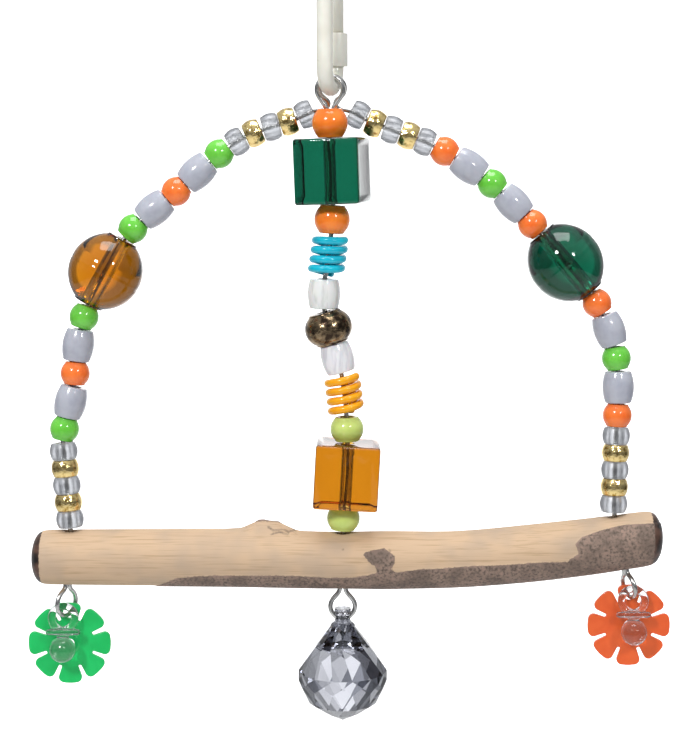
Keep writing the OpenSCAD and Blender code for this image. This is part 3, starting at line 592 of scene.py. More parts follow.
class Coat(Enum):
    """The record's material slots, each with the finish that stands for it."""

    # Moulded nylon: creamy and half matt, so the link has broad, soft highlights.
    IVORY = (
        "ivory_plastic",
        MouldedPlastic(
            "ivory_nylon", "#F2F0E4", "#E9E6D8", roughness=0.3, mottle_mm=8.0, peel_mm=2.0
        ),
    )
    # Steel drawn through a die and galvanised: bright, with duller patches of zinc.
    STEEL = ("steel_wire", DrawnWire("galvanised_wire"))
    # Peeled branch wood: pale and dry, with a strip of bark left on and dark sealed ends.
    WOOD = ("peeled_wood", NaturalBranch("peeled_branch"))
    # Moulded styrene of the charms: clear, with a skin a little milky from the mould.
    MILKY = (
        "clear_acrylic",
        ClearAcrylic(
            "milky_styrene",
            "#FFFFFF",
            "#E6EAEE",
            density=60.0,
            roughness=0.12,
            wave_mm=1.5,
            wave_depth_mm=0.12,
        ),
    )
    # Moulded clear polystyrene of the pony beads: grey and soft inside, from flow and scratches.
    CLEAR = (
        "clear_acrylic",
        ClearAcrylic(
            "moulded_clear_polystyrene",
            "#F6F7F8",
            "#DADBDE",
            density=260.0,
            roughness=0.32,
            wave_mm=1.2,
            wave_depth_mm=0.06,
        ),
    )
    # Cut acrylic of the drop: flat facets, each with a painted reflection of its surroundings.
    CRYSTAL = (
        "clear_acrylic",
        ClearAcrylic(
            "faceted_acrylic_painted_reflections",
            "#FAFAFC",
            "#DADBE0",
            density=60.0,
            roughness=0.0,
            wave_mm=9.0,
            wave_depth_mm=0.02,
            # Painted reflections darken the facets towards this colour.
            shade="#4E5058",
        ),
    )
    # Vacuum-coated plastic: a pale gold mirror, crumpled and brown in its dents.
    GOLD = (
        "gold_coated",
        MetallisedPlastic(
            "gold_coating",
            "#FADF9A",
            "#B08A3C",
            dent_mm=1.3,
            dent_depth_mm=0.3,
            roughness=0.13,
            stain_from=0.3,
            stain_to=0.48,
        ),
    )
    # Moulded opaque polystyrene: even colour right through, with sharp highlights.
    GREEN = ("green_plastic", MouldedPlastic("green_polystyrene", "#74D24C", "#66C63E"))
    ORANGE = ("orange_plastic", MouldedPlastic("orange_polystyrene", "#FF8138", "#FA722C"))
    BRIGHT_ORANGE = (
        "bright_orange_plastic",
        MouldedPlastic("bright_orange_polystyrene", "#FF8A2C", "#FC7C24"),
    )
    GREY = ("grey_plastic", MouldedPlastic("grey_polystyrene", "#B6B8C2", "#AAACB8"))
    LIME = ("lime_plastic", MouldedPlastic("lime_polystyrene", "#D2E480", "#C8DC74"))
    # Moulded acrylic with dye in it: clear, and deeper in colour where it is thick.
    AMBER = (
        "amber_acrylic",
        ClearAcrylic("moulded_amber_acrylic", "#FFEFC4", "#EBD400", density=250.0),
    )
    GREEN_CLEAR = (
        "green_acrylic",
        ClearAcrylic("moulded_green_acrylic", "#98E4CC", "#00C8BC", density=250.0),
    )
    # Wound vinyl strand: strong even colour with a smooth, glossy skin.
    TURQUOISE = ("turquoise_plastic", MouldedPlastic("turquoise_vinyl", "#08C4DC", "#06B4D0"))
    YELLOW = ("yellow_plastic", MouldedPlastic("yellow_vinyl", "#FFB000", "#F8A400"))
    # Polystyrene with pearl pigment: white, with faint streaks along the bead.
    PEARL = ("pearl_plastic", PearlPlastic("pearl_polystyrene", "#EDEDEA", "#D9D9D6"))
    WHITE = ("white_plastic", PearlPlastic("white_pearl_polystyrene", "#F1F0F3", "#DEDDE2"))
    # Metal-coated plastic stained dark: dull bronze on the high spots, near black in the dents.
    BRONZE = (
        "bronze_metallic",
        MetallisedPlastic(
            "antiqued_bronze",
            "#A08A6C",
            "#3A2F26",
            dent_mm=2.4,
            dent_depth_mm=0.45,
            roughness=0.2,
            stain_from=0.4,
            stain_to=0.62,
        ),
    )
    # Moulded polythene: waxy, so its highlights are wide and weak.
    FLOWER_GREEN = (
        "green_flower_plastic",
        MouldedPlastic(
            "green_polythene", "#08CC66", "#00C25E", roughness=0.34, mottle_mm=6.0, peel_mm=1.5
        ),
    )
    FLOWER_ORANGE = (
        "orange_flower_plastic",
        MouldedPlastic(
            "orange_polythene", "#F4682C", "#EC5F26", roughness=0.34, mottle_mm=6.0, peel_mm=1.5
        ),
    )

    @property
    def slot(self) -> str:
        """The record's slot name."""
        return self.value[0]

    @property
    def finish(self) -> Finish:
        """The finish of this slot."""
        return self.value[1]


def select_only(*objects: Item) -> None:
    """Deselects everything, then selects these objects and makes the last one active.

    Args:
        objects: what to select; none only deselects.
    """
    if bpy.context.object and bpy.context.object.mode != "OBJECT":
        bpy.ops.object.mode_set(mode="OBJECT")
    bpy.ops.object.select_all(action="DESELECT")
    for item in objects:
        item.select_set(True)
        bpy.context.view_layer.objects.active = item


@contextmanager
def editing(item: Item, everything: bool = True) -> Iterator[bmesh.types.BMesh]:
    """Opens a mesh in edit mode, and closes it again.

    Args:
        item: the object to edit.
        everything: whether all of its faces start selected.

    Yields:
        The mesh that is being edited.
    """
    select_only(item)
    bpy.ops.object.mode_set(mode="EDIT")
    bpy.ops.mesh.select_all(action="SELECT" if everything else "DESELECT")
    yield bmesh.from_edit_mesh(item.data)
    bpy.ops.object.mode_set(mode="OBJECT")


def modify(item: Item, kind: str, **settings: Any) -> None:
    """Adds a modifier with its settings and applies it.

    Args:
        item: the object to change.
        kind: the modifier's type.
        settings: its properties.
    """
    select_only(item)
    modifier = item.modifiers.new(kind.lower(), kind)
    for name, value in settings.items():
        setattr(modifier, name, value)
    bpy.ops.object.modifier_apply(modifier=modifier.name)


def copy_of(item: Item, name: str) -> Item:
    """Copies an object with a mesh of its own and links the copy to the scene.

    Args:
        item: the object to copy.
        name: the copy's name.

    Returns:
        The copy, at the origin and without the original's properties.
    """
    made = item.copy()
    made.data = item.data.copy()
    made.name = name
    made.parent = None
    made.matrix_world = Matrix.Identity(4)
    for key in list(made.keys()):
        del made[key]
    bpy.context.scene.collection.objects.link(made)
    return made


def ring_between(centre: Vector, axis: Vector) -> Matrix:
    """Gives the placing of a piece that is drawn round the upright axis at the origin."""
    return Matrix.Translation(centre) @ axis.to_track_quat("Z", "Y").to_matrix().to_4x4()


@dataclass(frozen=True)
class Viewpoint:
    """The photograph's camera: its place, its tilt and its focal length in pixels."""

    place: tuple[float, float, float] = (0.00629, -0.5806, -0.0684)
    pitch_deg: float = 7.0
    focal_px: float = 1800.0
    width_px: float = 700.0
    height_px: float = 752.0
    sensor_mm: float = 36.0
    nearest: float = 0.01

    def pixel(self, point: Vector) -> Point:
        """Gives the pixel of the photograph at which a point of the frame shows.

        Args:
            point: a point of the frame.

        Returns:
            The pixel, from the picture's upper left corner.
        """
        pitch = math.radians(self.pitch_deg)
        away = point - Vector(self.place)
        depth = away.y * math.cos(pitch) - away.z * math.sin(pitch)
        rise = away.y * math.sin(pitch) + away.z * math.cos(pitch)
        return (
            self.width_px / 2 + self.focal_px * away.x / depth,
            self.height_px / 2 - self.focal_px * rise / depth,
        )

    def mm_per_pixel(self) -> float:
        """Gives the size of a pixel at the swing."""
        return -self.place[1] / self.focal_px / MM

    def make_camera(self) -> None:
        """Makes the scene's camera."""
        lens = bpy.data.cameras.new("photo_camera")
        lens.sensor_width = self.sensor_mm
        lens.lens = self.focal_px / self.height_px * lens.sensor_width
        lens.clip_start = self.nearest
        camera = bpy.data.objects.new("photo_camera", lens)
        camera.location = self.place
        camera.rotation_euler = (math.radians(90 - self.pitch_deg), 0.0, 0.0)
        bpy.context.scene.collection.objects.link(camera)
        bpy.context.scene.camera = camera


@dataclass
class Workshop:
    """What every sub-assembly shares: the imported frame, and how pieces are handed over."""

    frame: dict[str, Any]
    merge_mm: float = 0.002
    count: int = 0

    def node(self, name: str) -> Item:
        """Gives a CAD node's object."""
        return self.frame["nodes"][name]

    def body(self, node: str) -> str:
        """Gives the body that a CAD node rides on."""
        return self.node(node)["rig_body"]

    def joint(self, name: str) -> dict[str, Any]:
        """Gives a joint of the frame."""
        return next(j for j in self.frame["joints"] if j["name"] == name)

    def spin_axis(self, node: str) -> tuple[Vector, Vector]:
        """Gives the middle and the upward direction of the line that a bead turns on."""
        joint = self.joint(f"{node}_spin")
        return Vector(joint["pos_m"]), Vector(joint["axis"]).normalized()

    def merged_copy(self, node: str, name: str) -> Item:
        """Copies a CAD node and merges its loose triangles.

        Args:
            node: the CAD node.
            name: the copy's name.

        Returns:
            The copy, with no material.
        """
        made = copy_of(self.node(node), name)
        made.data.materials.clear()
        with editing(made):
            bpy.ops.mesh.remove_doubles(threshold=self.merge_mm * MM)
            bpy.ops.mesh.delete_loose()
        return made

    def hand_over(self, piece: Item, coat: Coat, node: str, smooth_deg: float = 35.0) -> None:
        """Dresses a finished piece and lets it stand for its node.

        Args:
            piece: the finished object, in place.
            coat: its finish and slot.
            node: the CAD node that it replaces.
            smooth_deg: edges flatter than this are shaded smooth.
        """
        select_only(piece)
        bpy.ops.object.shade_smooth_by_angle(angle=math.radians(smooth_deg))
        piece.data.materials.clear()
        piece.data.materials.append(coat.finish.material())
        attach(piece, self.body(node))
        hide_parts(node)
        self.count += 1
        LOG.info("%s: %d faces on %s", piece.name, len(piece.data.polygons), self.body(node))


@dataclass
class BeadShape:
    """A moulded bead's section: bore, bulged side, rounded lips and, on some, a parting line."""

    name: str
    bulge_share: float
    edge_mm: float = 0.9
    edge_share: float = 0.35
    seam_mm: float = 0.0
    seam_foot: float = 0.35
    seam_top: float = 0.4
    lip_share: float = 0.6
    shoulder_share: float = 0.5
    end_share: float = 0.65
    merge_mm: float = 0.001
    steps: int = 72
    side_points: int = 15
    lip_points: int = 5
    patterns: dict[tuple[float, ...], Item] = field(default_factory=dict)

    def outline(self, length: float, radius: float, bore: float) -> list[Point]:
        """Gives the section's points as distances from the axis and heights.

        Args:
            length: the bead's length.
            radius: its largest radius.
            bore: the bore's radius.

        Returns:
            A closed outline.
        """
        half = length / 2
        bulge = 2 * radius * self.bulge_share
        side_r = (half * half + bulge * bulge) / (2 * bulge)
        soft = min(self.edge_mm * MM, (radius - bore) * self.edge_share)
        lip = soft * self.lip_share
        reach = half - soft * self.shoulder_share
        side = []
        for k in range(self.side_points):
            z = reach * (1 - 2 * k / (self.side_points - 1))
            side.append((radius - side_r + math.sqrt(side_r * side_r - z * z), z))
        if self.seam_mm:
            side = [p for p in side if abs(p[1]) > 2 * self.seam_mm * MM]
            middle = len(side) // 2
            ridge = self.seam_mm * MM
            side[middle:middle] = [
                (radius - ridge * self.seam_foot, ridge),
                (radius, ridge * self.seam_top),
                (radius, -ridge * self.seam_top),
                (radius - ridge * self.seam_foot, -ridge),
            ]
        end_r = side[0][0] - soft * self.end_share
        corner = self.arc((end_r, half), (side[0][0], half), side[0])
        inner = self.arc((bore, half - lip), (bore, half), (bore + lip, half))
        upper = inner + corner[:-1]
        lower = [(r, -z) for r, z in reversed(upper)]
        return upper + side + lower

    def arc(self, start: Point, corner: Point, end: Point) -> list[Point]:
        """Rounds a corner by a quadratic curve.

        Args:
            start: where the curve starts.
            corner: the sharp corner that it cuts off.
            end: where it ends.

        Returns:
            The curve's points.
        """
        points = []
        for k in range(self.lip_points):
            t = k / (self.lip_points - 1)
            a, b, c = (1 - t) ** 2, 2 * t * (1 - t), t * t
            r, z = (a * p + b * q + c * e for p, q, e in zip(start, corner, end))
            points.append((r, z))
        return points

    def pattern(self, length: float, radius: float, bore: float) -> Item:
        """Spins the section into a bead once for each size.

        Args:
            length: the bead's length.
            radius: its largest radius.
            bore: the bore's radius.

        Returns:
            The bead, upright at the origin, which is copied and never shown.
        """
        size = (round(length, 6), round(radius, 6), round(bore, 6))
        if size in self.patterns:
            return self.patterns[size]
        outline = self.outline(length, radius, bore)
        select_only()
        bpy.ops.mesh.primitive_circle_add(vertices=len(outline), radius=radius)
        made = bpy.context.object
        made.name = f"{self.name}_pattern_{len(self.patterns)}"
        with editing(made) as mesh:
            for vertex, (r, z) in zip(mesh.verts, outline):
                vertex.co = (r, 0.0, z)
            bmesh.update_edit_mesh(made.data)
            bpy.ops.mesh.spin(
                steps=self.steps, angle=2 * math.pi, center=(0, 0, 0), axis=(0, 0, 1), dupli=False
            )
            bpy.ops.mesh.select_all(action="SELECT")
            bpy.ops.mesh.remove_doubles(threshold=self.merge_mm * MM)
            bpy.ops.mesh.normals_make_consistent(inside=False)
        self.patterns[size] = made
        return made

    def clear_patterns(self) -> None:
        """Removes the patterns once every copy is made."""
        for made in self.patterns.values():
            bpy.data.objects.remove(made)
        self.patterns.clear()


@dataclass
class BeadKind:
    """One kind of bead on the wires: which nodes it stands for, its shape and its coat."""

    nodes: tuple[str, ...]
    shape: BeadShape
    coat: Coat


def numbered(stem: str, count: int) -> tuple[str, ...]:
    """Gives the names stem_1 to stem_count."""
    return tuple(f"{stem}_{k}" for k in range(1, count + 1))


@dataclass
class Beads:
    """All turned beads on the two wires, in the arch and in the middle strand."""

    shop: Workshop
    leg_counts: dict[str, int] = field(default_factory=lambda: {"clear": 3, "gold": 2})

    def kinds(self) -> list[BeadKind]:
        """Lists the kinds of bead with their nodes.

        Returns:
            The kinds, in the order in which they are built.
        """
        pony = BeadShape("pony", bulge_share=0.09, edge_mm=1.3, edge_share=0.5)
        ball = BeadShape("round", bulge_share=0.19, edge_mm=1.1, edge_share=0.4)
        barrel = BeadShape("barrel", bulge_share=0.1, edge_mm=1.2, edge_share=0.45)
        oval = BeadShape(
            "oval", bulge_share=0.33, edge_mm=1.0, seam_mm=0.35, steps=96, side_points=28
        )
        white = BeadShape("white", bulge_share=0.07, edge_share=0.3)
        bronze = BeadShape("bronze", bulge_share=0.23, edge_mm=1.2, edge_share=0.4)
        sides = ("left", "right")
        clear = tuple(n for s in sides for n in numbered(f"{s}_clear_bead", 3))
        gold = tuple(n for s in sides for n in numbered(f"{s}_gold_bead", 2))
        grey = tuple(n for s in sides for n in numbered(f"{s}_grey_barrel", 4))
        green = numbered("left_green_bead", 4) + numbered("right_green_bead", 2)
        orange = numbered("left_orange_bead", 2) + numbered("right_orange_bead", 4)
        return [
            BeadKind(clear + ("left_leg_clear_beads", "right_leg_clear_beads"), pony, Coat.CLEAR),
            BeadKind(gold + ("left_leg_gold_beads", "right_leg_gold_beads"), pony, Coat.GOLD),
            BeadKind(grey, barrel, Coat.GREY),
            BeadKind(green, ball, Coat.GREEN),
            BeadKind(orange, ball, Coat.ORANGE),
            BeadKind(("top_orange_bead", "lower_orange_bead"), ball, Coat.BRIGHT_ORANGE),
            BeadKind(("upper_lime_bead", "lower_lime_bead"), ball, Coat.LIME),
            BeadKind(("amber_oval_bead",), oval, Coat.AMBER),
            BeadKind(("green_oval_bead",), oval, Coat.GREEN_CLEAR),
            BeadKind(("pearl_barrel",), white, Coat.PEARL),
            BeadKind(("white_barrel",), white, Coat.WHITE),
            BeadKind(("bronze_bead",), bronze, Coat.BRONZE),
        ]

    def measure(self, node: str) -> tuple[float, float, float, float, float]:
        """Measures a node along and round its axis.

        Args:
            node: the CAD node.

        Returns:
            Its lowest and highest place on the axis, its largest radius, its bore's radius, and how
            many beads it holds.
        """
        centre, axis = self.shop.spin_axis(node)
        heights, radii = [], []
        for vertex in self.shop.node(node).data.vertices:
            foot, height = intersect_point_line(vertex.co, centre, centre + axis)
            heights.append(height)
            radii.append((vertex.co - foot).length)
        count = next((n for kind, n in self.leg_counts.items() if f"leg_{kind}" in node), 1)
        return min(heights), max(heights), max(radii), min(radii), count

    def build(self) -> None:
        """Models each kind once and copies it to every place."""
        for kind in self.kinds():
            for node in kind.nodes:
                self.place(node, kind)
            kind.shape.clear_patterns()

    def place(self, node: str, kind: BeadKind) -> None:
        """Puts the beads of one node on their line.

        Args:
            node: the CAD node.
            kind: the kind of bead.
        """
        low, high, radius, bore, count = self.measure(node)
        centre, axis = self.shop.spin_axis(node)
        length = self.bead_length(node, low, high, count)
        pitch = (high - low - length) / max(1, count - 1)
        copies = []
        for k in range(count):
            bead = copy_of(kind.shape.pattern(length, radius, bore), f"{node}_turned_{k}")
            middle = centre + axis * (low + length / 2 + k * pitch)
            bead.data.transform(ring_between(middle, axis))
            copies.append(bead)
        select_only(*copies)
        if count > 1:
            bpy.ops.object.join()
        piece = bpy.context.object
        piece.name = f"{node}_turned"
        self.shop.hand_over(piece, kind.coat, node)

    def bead_length(self, node: str, low: float, high: float, count: int) -> float:
        """Gives the length of one bead of a node, which for a group is that of its single kin.

        Args:
            node: the CAD node.
            low: its lowest place on its axis.
            high: its highest place.
            count: how many beads it holds.

        Returns:
            The length.
        """
        if count == 1:
            return high - low
        kin = node.replace("_leg", "").replace("beads", "bead_1")
        kin_low, kin_high, *_ = self.measure(kin)
        return kin_high - kin_low


@dataclass
class Cubes:
    """The two big transparent cubes: eased edges, sunk faces and a bore right through."""

    shop: Workshop
    edge_mm: float = 0.9
    edge_segments: int = 4
    sink_mm: float = 0.33
    sink_steps: int = 4
    inset_share: float = 0.09
    bore_sides: int = 48
    drill_over: float = 1.2

    def build(self) -> None:
        """Models both cubes."""
        self.make("green_cube", Coat.GREEN_CLEAR)
        self.make("amber_cube", Coat.AMBER)

    def make(self, node: str, coat: Coat) -> None:
        """Models one cube round its wire.

        Args:
            node: the CAD node.
            coat: its finish and slot.
        """
        centre, axis = self.shop.spin_axis(node)
        heights = [(v.co - centre).dot(axis) for v in self.shop.node(node).data.vertices]
        width = max(heights) - min(heights)
        select_only()
        bpy.ops.mesh.primitive_cube_add(size=width)
        cube = bpy.context.object
        cube.name = f"{node}_moulded"
        with editing(cube):
            bpy.ops.mesh.bevel(
                offset=self.edge_mm * MM, segments=self.edge_segments, affect="EDGES"
            )
        with editing(cube, everything=False) as mesh:
            for face in mesh.faces:
                face.select_set(face.calc_area() > (width / 2) ** 2)
            bmesh.update_edit_mesh(cube.data)
            for k in range(self.sink_steps):
                share = math.cos(math.pi / 2 * k / self.sink_steps)
                bpy.ops.mesh.inset(
                    thickness=width * self.inset_share,
                    depth=-self.sink_mm * MM * share / self.sink_steps,
                    use_individual=True,
                )
        bore = self.bore_radius(node, centre, axis)
        select_only()
        bpy.ops.mesh.primitive_cylinder_add(
            vertices=self.bore_sides, radius=bore, depth=width * self.drill_over
        )
        drill = bpy.context.object
        modify(cube, "BOOLEAN", object=drill, operation="DIFFERENCE", solver="EXACT")
        bpy.data.objects.remove(drill)
        cube.data.transform(Matrix.Rotation(self.turn(node, centre, axis), 4, "Z"))
        cube.data.transform(ring_between(centre, axis))
        self.shop.hand_over(cube, coat, node, smooth_deg=40)

    def bore_radius(self, node: str, centre: Vector, axis: Vector) -> float:
        """Measures the bore of a cube's node.

        Args:
            node: the CAD node.
            centre: the middle of its axis.
            axis: the axis's direction.

        Returns:
            The bore's radius.
        """
        corners = [v.co for v in self.shop.node(node).data.vertices]
        feet = [intersect_point_line(c, centre, centre + axis)[0] for c in corners]
        return min((c - foot).length for c, foot in zip(corners, feet))

    def turn(self, node: str, centre: Vector, axis: Vector) -> float:
        """Measures how far a cube is turned about its wire, from its farthest corner.

        Args:
            node: the CAD node.
            centre: the middle of its axis.
            axis: the axis's direction.

        Returns:
            The turn in radians.
        """
        upright = ring_between(centre, axis).inverted()
        corner = max(
            (upright @ v.co for v in self.shop.node(node).data.vertices),
            key=lambda p: p.x * p.x + p.y * p.y,
        )
        return math.atan2(corner.y, corner.x) - math.pi / 4


@dataclass
class Coils:
    """The two plastic coils, wound from a round strand with cut ends."""

    shop: Workshop
    levels: int = 2
    swell_mm: float = 0.19

    def build(self) -> None:
        """Rounds both coils' strands."""
        for node, coat in (("turquoise_coil", Coat.TURQUOISE), ("yellow_coil", Coat.YELLOW)):
            coil = self.shop.merged_copy(node, f"{node}_wound")
            round_strand(coil, self.levels, self.swell_mm)
            self.shop.hand_over(coil, coat, node, smooth_deg=60)


def round_strand(item: Item, levels: int, swell_mm: float) -> None:
    """Rounds a strand of few sides and gives back the thickness that this takes away.

    Args:
        item: a closed strand of quads split into triangles.
        levels: how often it is subdivided.
        swell_mm: how far its skin is moved out again.
    """
    with editing(item):
        bpy.ops.mesh.tris_convert_to_quads(
            face_threshold=math.radians(60), shape_threshold=math.radians(80)
        )
    modify(item, "SUBSURF", levels=levels, render_levels=levels)
    with editing(item):
        bpy.ops.transform.shrink_fatten(value=swell_mm * MM)


@dataclass
class Wires:
    """The arch wire and the middle wire, each one round length with its eyes."""

    shop: Workshop
    levels: int = 2
    swell_mm: float = 0.065

    def build(self) -> None:
        """Rounds both wires."""
        for node in ("arch_wire", "center_wire"):
            wire = self.shop.merged_copy(node, f"{node}_drawn")
            round_strand(wire, self.levels, self.swell_mm)
            self.shop.hand_over(wire, Coat.STEEL, node, smooth_deg=60)


@dataclass
class Link:
    """The plastic quick link: its bar with the gate, and the six-sided nut."""

    shop: Workshop
    edge_mm: float = 0.3

    def build(self) -> None:
        """Finishes the bar and eases the nut's edges."""
        bar = self.shop.merged_copy("hanging_link", "hanging_link_moulded")
        self.shop.hand_over(bar, Coat.IVORY, "hanging_link", smooth_deg=40)
        nut = self.shop.merged_copy("link_nut", "link_nut_moulded")
        with editing(nut):
            bpy.ops.mesh.dissolve_limited(angle_limit=math.radians(2))
        modify(
            nut,
            "BEVEL",
            width=self.edge_mm * MM,
            segments=3,
            limit_method="ANGLE",
            angle_limit=math.radians(25),
        )
        self.shop.hand_over(nut, Coat.IVORY, "link_nut", smooth_deg=30)


@dataclass
class Hangers:
    """What hangs at the perch's ends: the two flowers and the two pacifiers."""

    shop: Workshop
    flower_voxel_mm: float = 0.17
    pacifier_voxel_mm: float = 0.15

    def build(self) -> None:
        """Remakes the flowers and pacifiers with soft edges."""
        self.soften("left_flower", Coat.FLOWER_GREEN, self.flower_voxel_mm, passes=4)
        self.soften("right_flower", Coat.FLOWER_ORANGE, self.flower_voxel_mm, passes=4)
        self.soften("left_pacifier", Coat.MILKY, self.pacifier_voxel_mm, passes=5)
        self.soften("right_pacifier", Coat.MILKY, self.pacifier_voxel_mm, passes=5)

    def soften(self, node: str, coat: Coat, voxel_mm: float, passes: int) -> None:
        """Remakes a node as one skin whose edges and joins are rounded.

        Args:
            node: the CAD node.
            coat: its finish and slot.
            voxel_mm: the size of the new skin's faces.
            passes: how often the skin is smoothed.
        """
        piece = self.shop.merged_copy(node, f"{node}_moulded")
        modify(piece, "REMESH", mode="VOXEL", voxel_size=voxel_mm * MM)
        modify(piece, "SMOOTH", factor=0.5, iterations=passes)
        self.shop.hand_over(piece, coat, node, smooth_deg=80)


@dataclass
class CutDrop:
    """The faceted drop: its boss, a fan of narrow facets, the girdle and the pointed foot."""

    shop: Workshop
    facets: int = 14
    boss_share: float = 0.15
    # Painted reflections: how a facet's tone steps round the drop and with its tilt.
    painted_reflection_turn: float = 0.618
    painted_reflection_rise: float = 1.7
    # Each ring's depth, its radius and its turn, as shares of the height, the radius and a facet.
    rings: tuple[tuple[float, float, float], ...] = (
        (0.12, 0.2, 0.0),
        (0.33, 0.6, 0.5),
        (0.55, 0.965, 0.0),
        (0.61, 0.985, 0.5),
        (0.67, 0.965, 0.0),
        (0.83, 0.74, 0.5),
        (0.93, 0.36, 0.0),
        (0.995, 0.03, 0.5),
    )

    def build(self) -> None:
        """Hulls the rings of corners into the body and joins the drilled boss to it."""
        low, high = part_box("crystal_drop")
        height, radius = high.z - low.z, (high.x - low.x) / 2
        middle = (low + high) / 2
        corners = []
        for depth, share, turn in self.rings:
            for k in range(self.facets):
                angle = 2 * math.pi * (k + turn) / self.facets
                x = middle.x + radius * share * math.cos(angle)
                y = middle.y + radius * share * math.sin(angle)
                corners.append((x, y, high.z - height * depth))
        select_only()
        bpy.ops.mesh.primitive_circle_add(vertices=len(corners))
        body = bpy.context.object
        body.name = "crystal_drop_cut"
        body.data.transform(Matrix.Translation(-body.location))
        with editing(body) as mesh:
            for vertex, corner in zip(mesh.verts, corners):
                vertex.co = corner
            bmesh.update_edit_mesh(body.data)
            bpy.ops.mesh.convex_hull()
            bpy.ops.mesh.delete_loose()
            bpy.ops.mesh.normals_make_consistent(inside=False)
        boss = self.shop.merged_copy("crystal_drop", "crystal_drop_boss")
        cut_z = high.z - height * self.boss_share
        with editing(boss):
            bpy.ops.mesh.bisect(
                plane_co=(0, 0, cut_z), plane_no=(0, 0, 1), use_fill=True, clear_inner=True
            )
        modify(body, "BOOLEAN", object=boss, operation="UNION", solver="EXACT")
        bpy.data.objects.remove(boss)
        # Painted reflections: each facet gets a tone from the way it faces, for what it would mirror.
        painted_reflections = body.data.attributes.new("facet_painted_reflection", "FLOAT", "FACE")
        for face in body.data.polygons:
            around = math.atan2(face.normal.y, face.normal.x) / (2 * math.pi)
            tone = around * self.facets * self.painted_reflection_turn + face.normal.z * self.painted_reflection_rise
            painted_reflections.data[face.index].value = tone % 1.0
        self.shop.hand_over(body, Coat.CRYSTAL, "crystal_drop", smooth_deg=4)


@dataclass
class Perch:
    """The peeled branch with its strip of bark, its knot and its sealed ends.

    The outlines are given in pixels of the photograph. The strip of bark is carried on round the
    back; the patch above it and the marks are on the front alone.
    """

    shop: Workshop
    viewpoint: Viewpoint
    voxel_mm: float = 0.55
    passes: int = 12
    bark_mm: float = 0.3
    end_depth_mm: float = 3.6
    back_shift: float = 1.3
    bark_edge_mm: float = 0.35
    no_mark_mm: float = -9.0
    bark_line: tuple[Point, ...] = (
        (150.0, 592.0), (157.0, 586.0), (178.0, 578.0), (207.0, 576.0), (230.0, 576.0),
        (293.0, 576.0), (330.0, 578.0), (352.0, 578.0), (367.0, 575.5), (377.0, 573.0),
        (396.0, 572.6), (415.0, 570.0), (450.0, 568.0), (475.0, 566.0), (506.0, 565.0),
        (532.0, 563.0), (567.0, 562.0), (579.0, 554.0), (575.5, 544.0), (582.0, 537.0),
        (601.0, 530.0), (624.0, 524.5), (654.0, 523.0), (700.0, 520.0), (700.0, 640.0),
        (150.0, 640.0),
    )
    patch_line: tuple[Point, ...] = (
        (367.0, 590.0), (367.0, 575.5), (377.0, 573.0), (375.0, 566.0), (371.0, 564.5),
        (363.0, 555.0), (365.0, 552.0), (384.0, 548.0), (395.0, 556.0), (395.0, 563.0),
        (391.0, 569.0), (396.0, 572.6), (396.0, 590.0),
    )
    cap_line: tuple[Point, ...] = (
        (247.5, 521.5), (260.8, 521.0), (269.4, 521.0), (282.5, 522.5), (293.7, 522.5),
        (293.0, 505.0), (248.0, 505.0),
    )
    marks: tuple[tuple[Point, ...], ...] = (
        ((389.5, 549.5), (390.5, 551.5)),
        ((342.8, 549.0), (343.2, 549.4)),
        ((268.0, 526.0), (273.0, 530.0), (282.0, 528.6), (289.0, 531.2), (296.0, 528.4)),
        ((271.0, 534.0), (280.0, 531.5), (288.0, 534.0)),
    )

    def build(self) -> None:
        """Remakes the branch as a fine skin and lays the bark on it."""
        branch = self.shop.merged_copy("perch", "perch_peeled")
        modify(branch, "REMESH", mode="VOXEL", voxel_size=self.voxel_mm * MM)
        modify(branch, "SMOOTH", factor=0.5, iterations=self.passes)
        mesh = branch.data
        low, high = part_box("perch")
        bark, ends, marks = [], [], []
        scale = self.viewpoint.mm_per_pixel()
        for vertex in mesh.vertices:
            spot = self.pixel_of(vertex.co)
            outlines = [self.bark_line]
            if vertex.co.y < 0:
                outlines += [self.patch_line, self.cap_line]
            bark.append(max(signed_distance(spot, line) for line in outlines) * scale)
            reach = min(vertex.co.x - low.x, high.x - vertex.co.x) / MM
            ends.append(self.end_depth_mm - reach)
            near = min(distance_to_line(spot, line) for line in self.marks)
            marks.append(-near * scale if vertex.co.y < 0 else self.no_mark_mm)
        for name, values in (("bark_mm", bark), ("end_mm", ends), ("mark_mm", marks)):
            layer = mesh.attributes.new(name, "FLOAT", "POINT")
            layer.data.foreach_set("value", values)
        outward = [vertex.normal.copy() for vertex in mesh.vertices]
        for vertex, normal, inside in zip(mesh.vertices, outward, bark):
            share = smooth_step(inside, -self.bark_edge_mm, self.bark_edge_mm)
            vertex.co += normal * self.bark_mm * MM * (share - 1)
        self.shop.hand_over(branch, Coat.WOOD, "perch", smooth_deg=70)

    def pixel_of(self, point: Vector) -> Point:
        """Gives the photograph's pixel of a point, with the back folded over to the front.

        Args:
            point: a point of the branch.

        Returns:
            The pixel.
        """
        front = Vector(point)
        if point.y > 0:
            front = Vector((point.x + self.back_shift * point.y, -point.y, point.z))
        return self.viewpoint.pixel(front)


def smooth_step(value: float, low: float, high: float) -> float:
    """Gives a smooth rise from 0 at low to 1 at high."""
    t = max(0.0, min(1.0, (value - low) / (high - low)))
    return t * t * (3 - 2 * t)


def distance_to_line(spot: Point, line: Sequence[Point]) -> float:
    """Gives the distance from a point to a chain of straight stretches.

    Args:
        spot: the point.
        line: the chain's points.

    Returns:
        The shortest distance.
    """
    best = 1e9
    for (ax, ay), (bx, by) in zip(line, line[1:]):
        length = (bx - ax) ** 2 + (by - ay) ** 2
        t = max(0.0, min(1.0, ((spot[0] - ax) * (bx - ax) + (spot[1] - ay) * (by - ay)) / length))
        best = min(best, math.hypot(spot[0] - ax - t * (bx - ax), spot[1] - ay - t * (by - ay)))
    return best


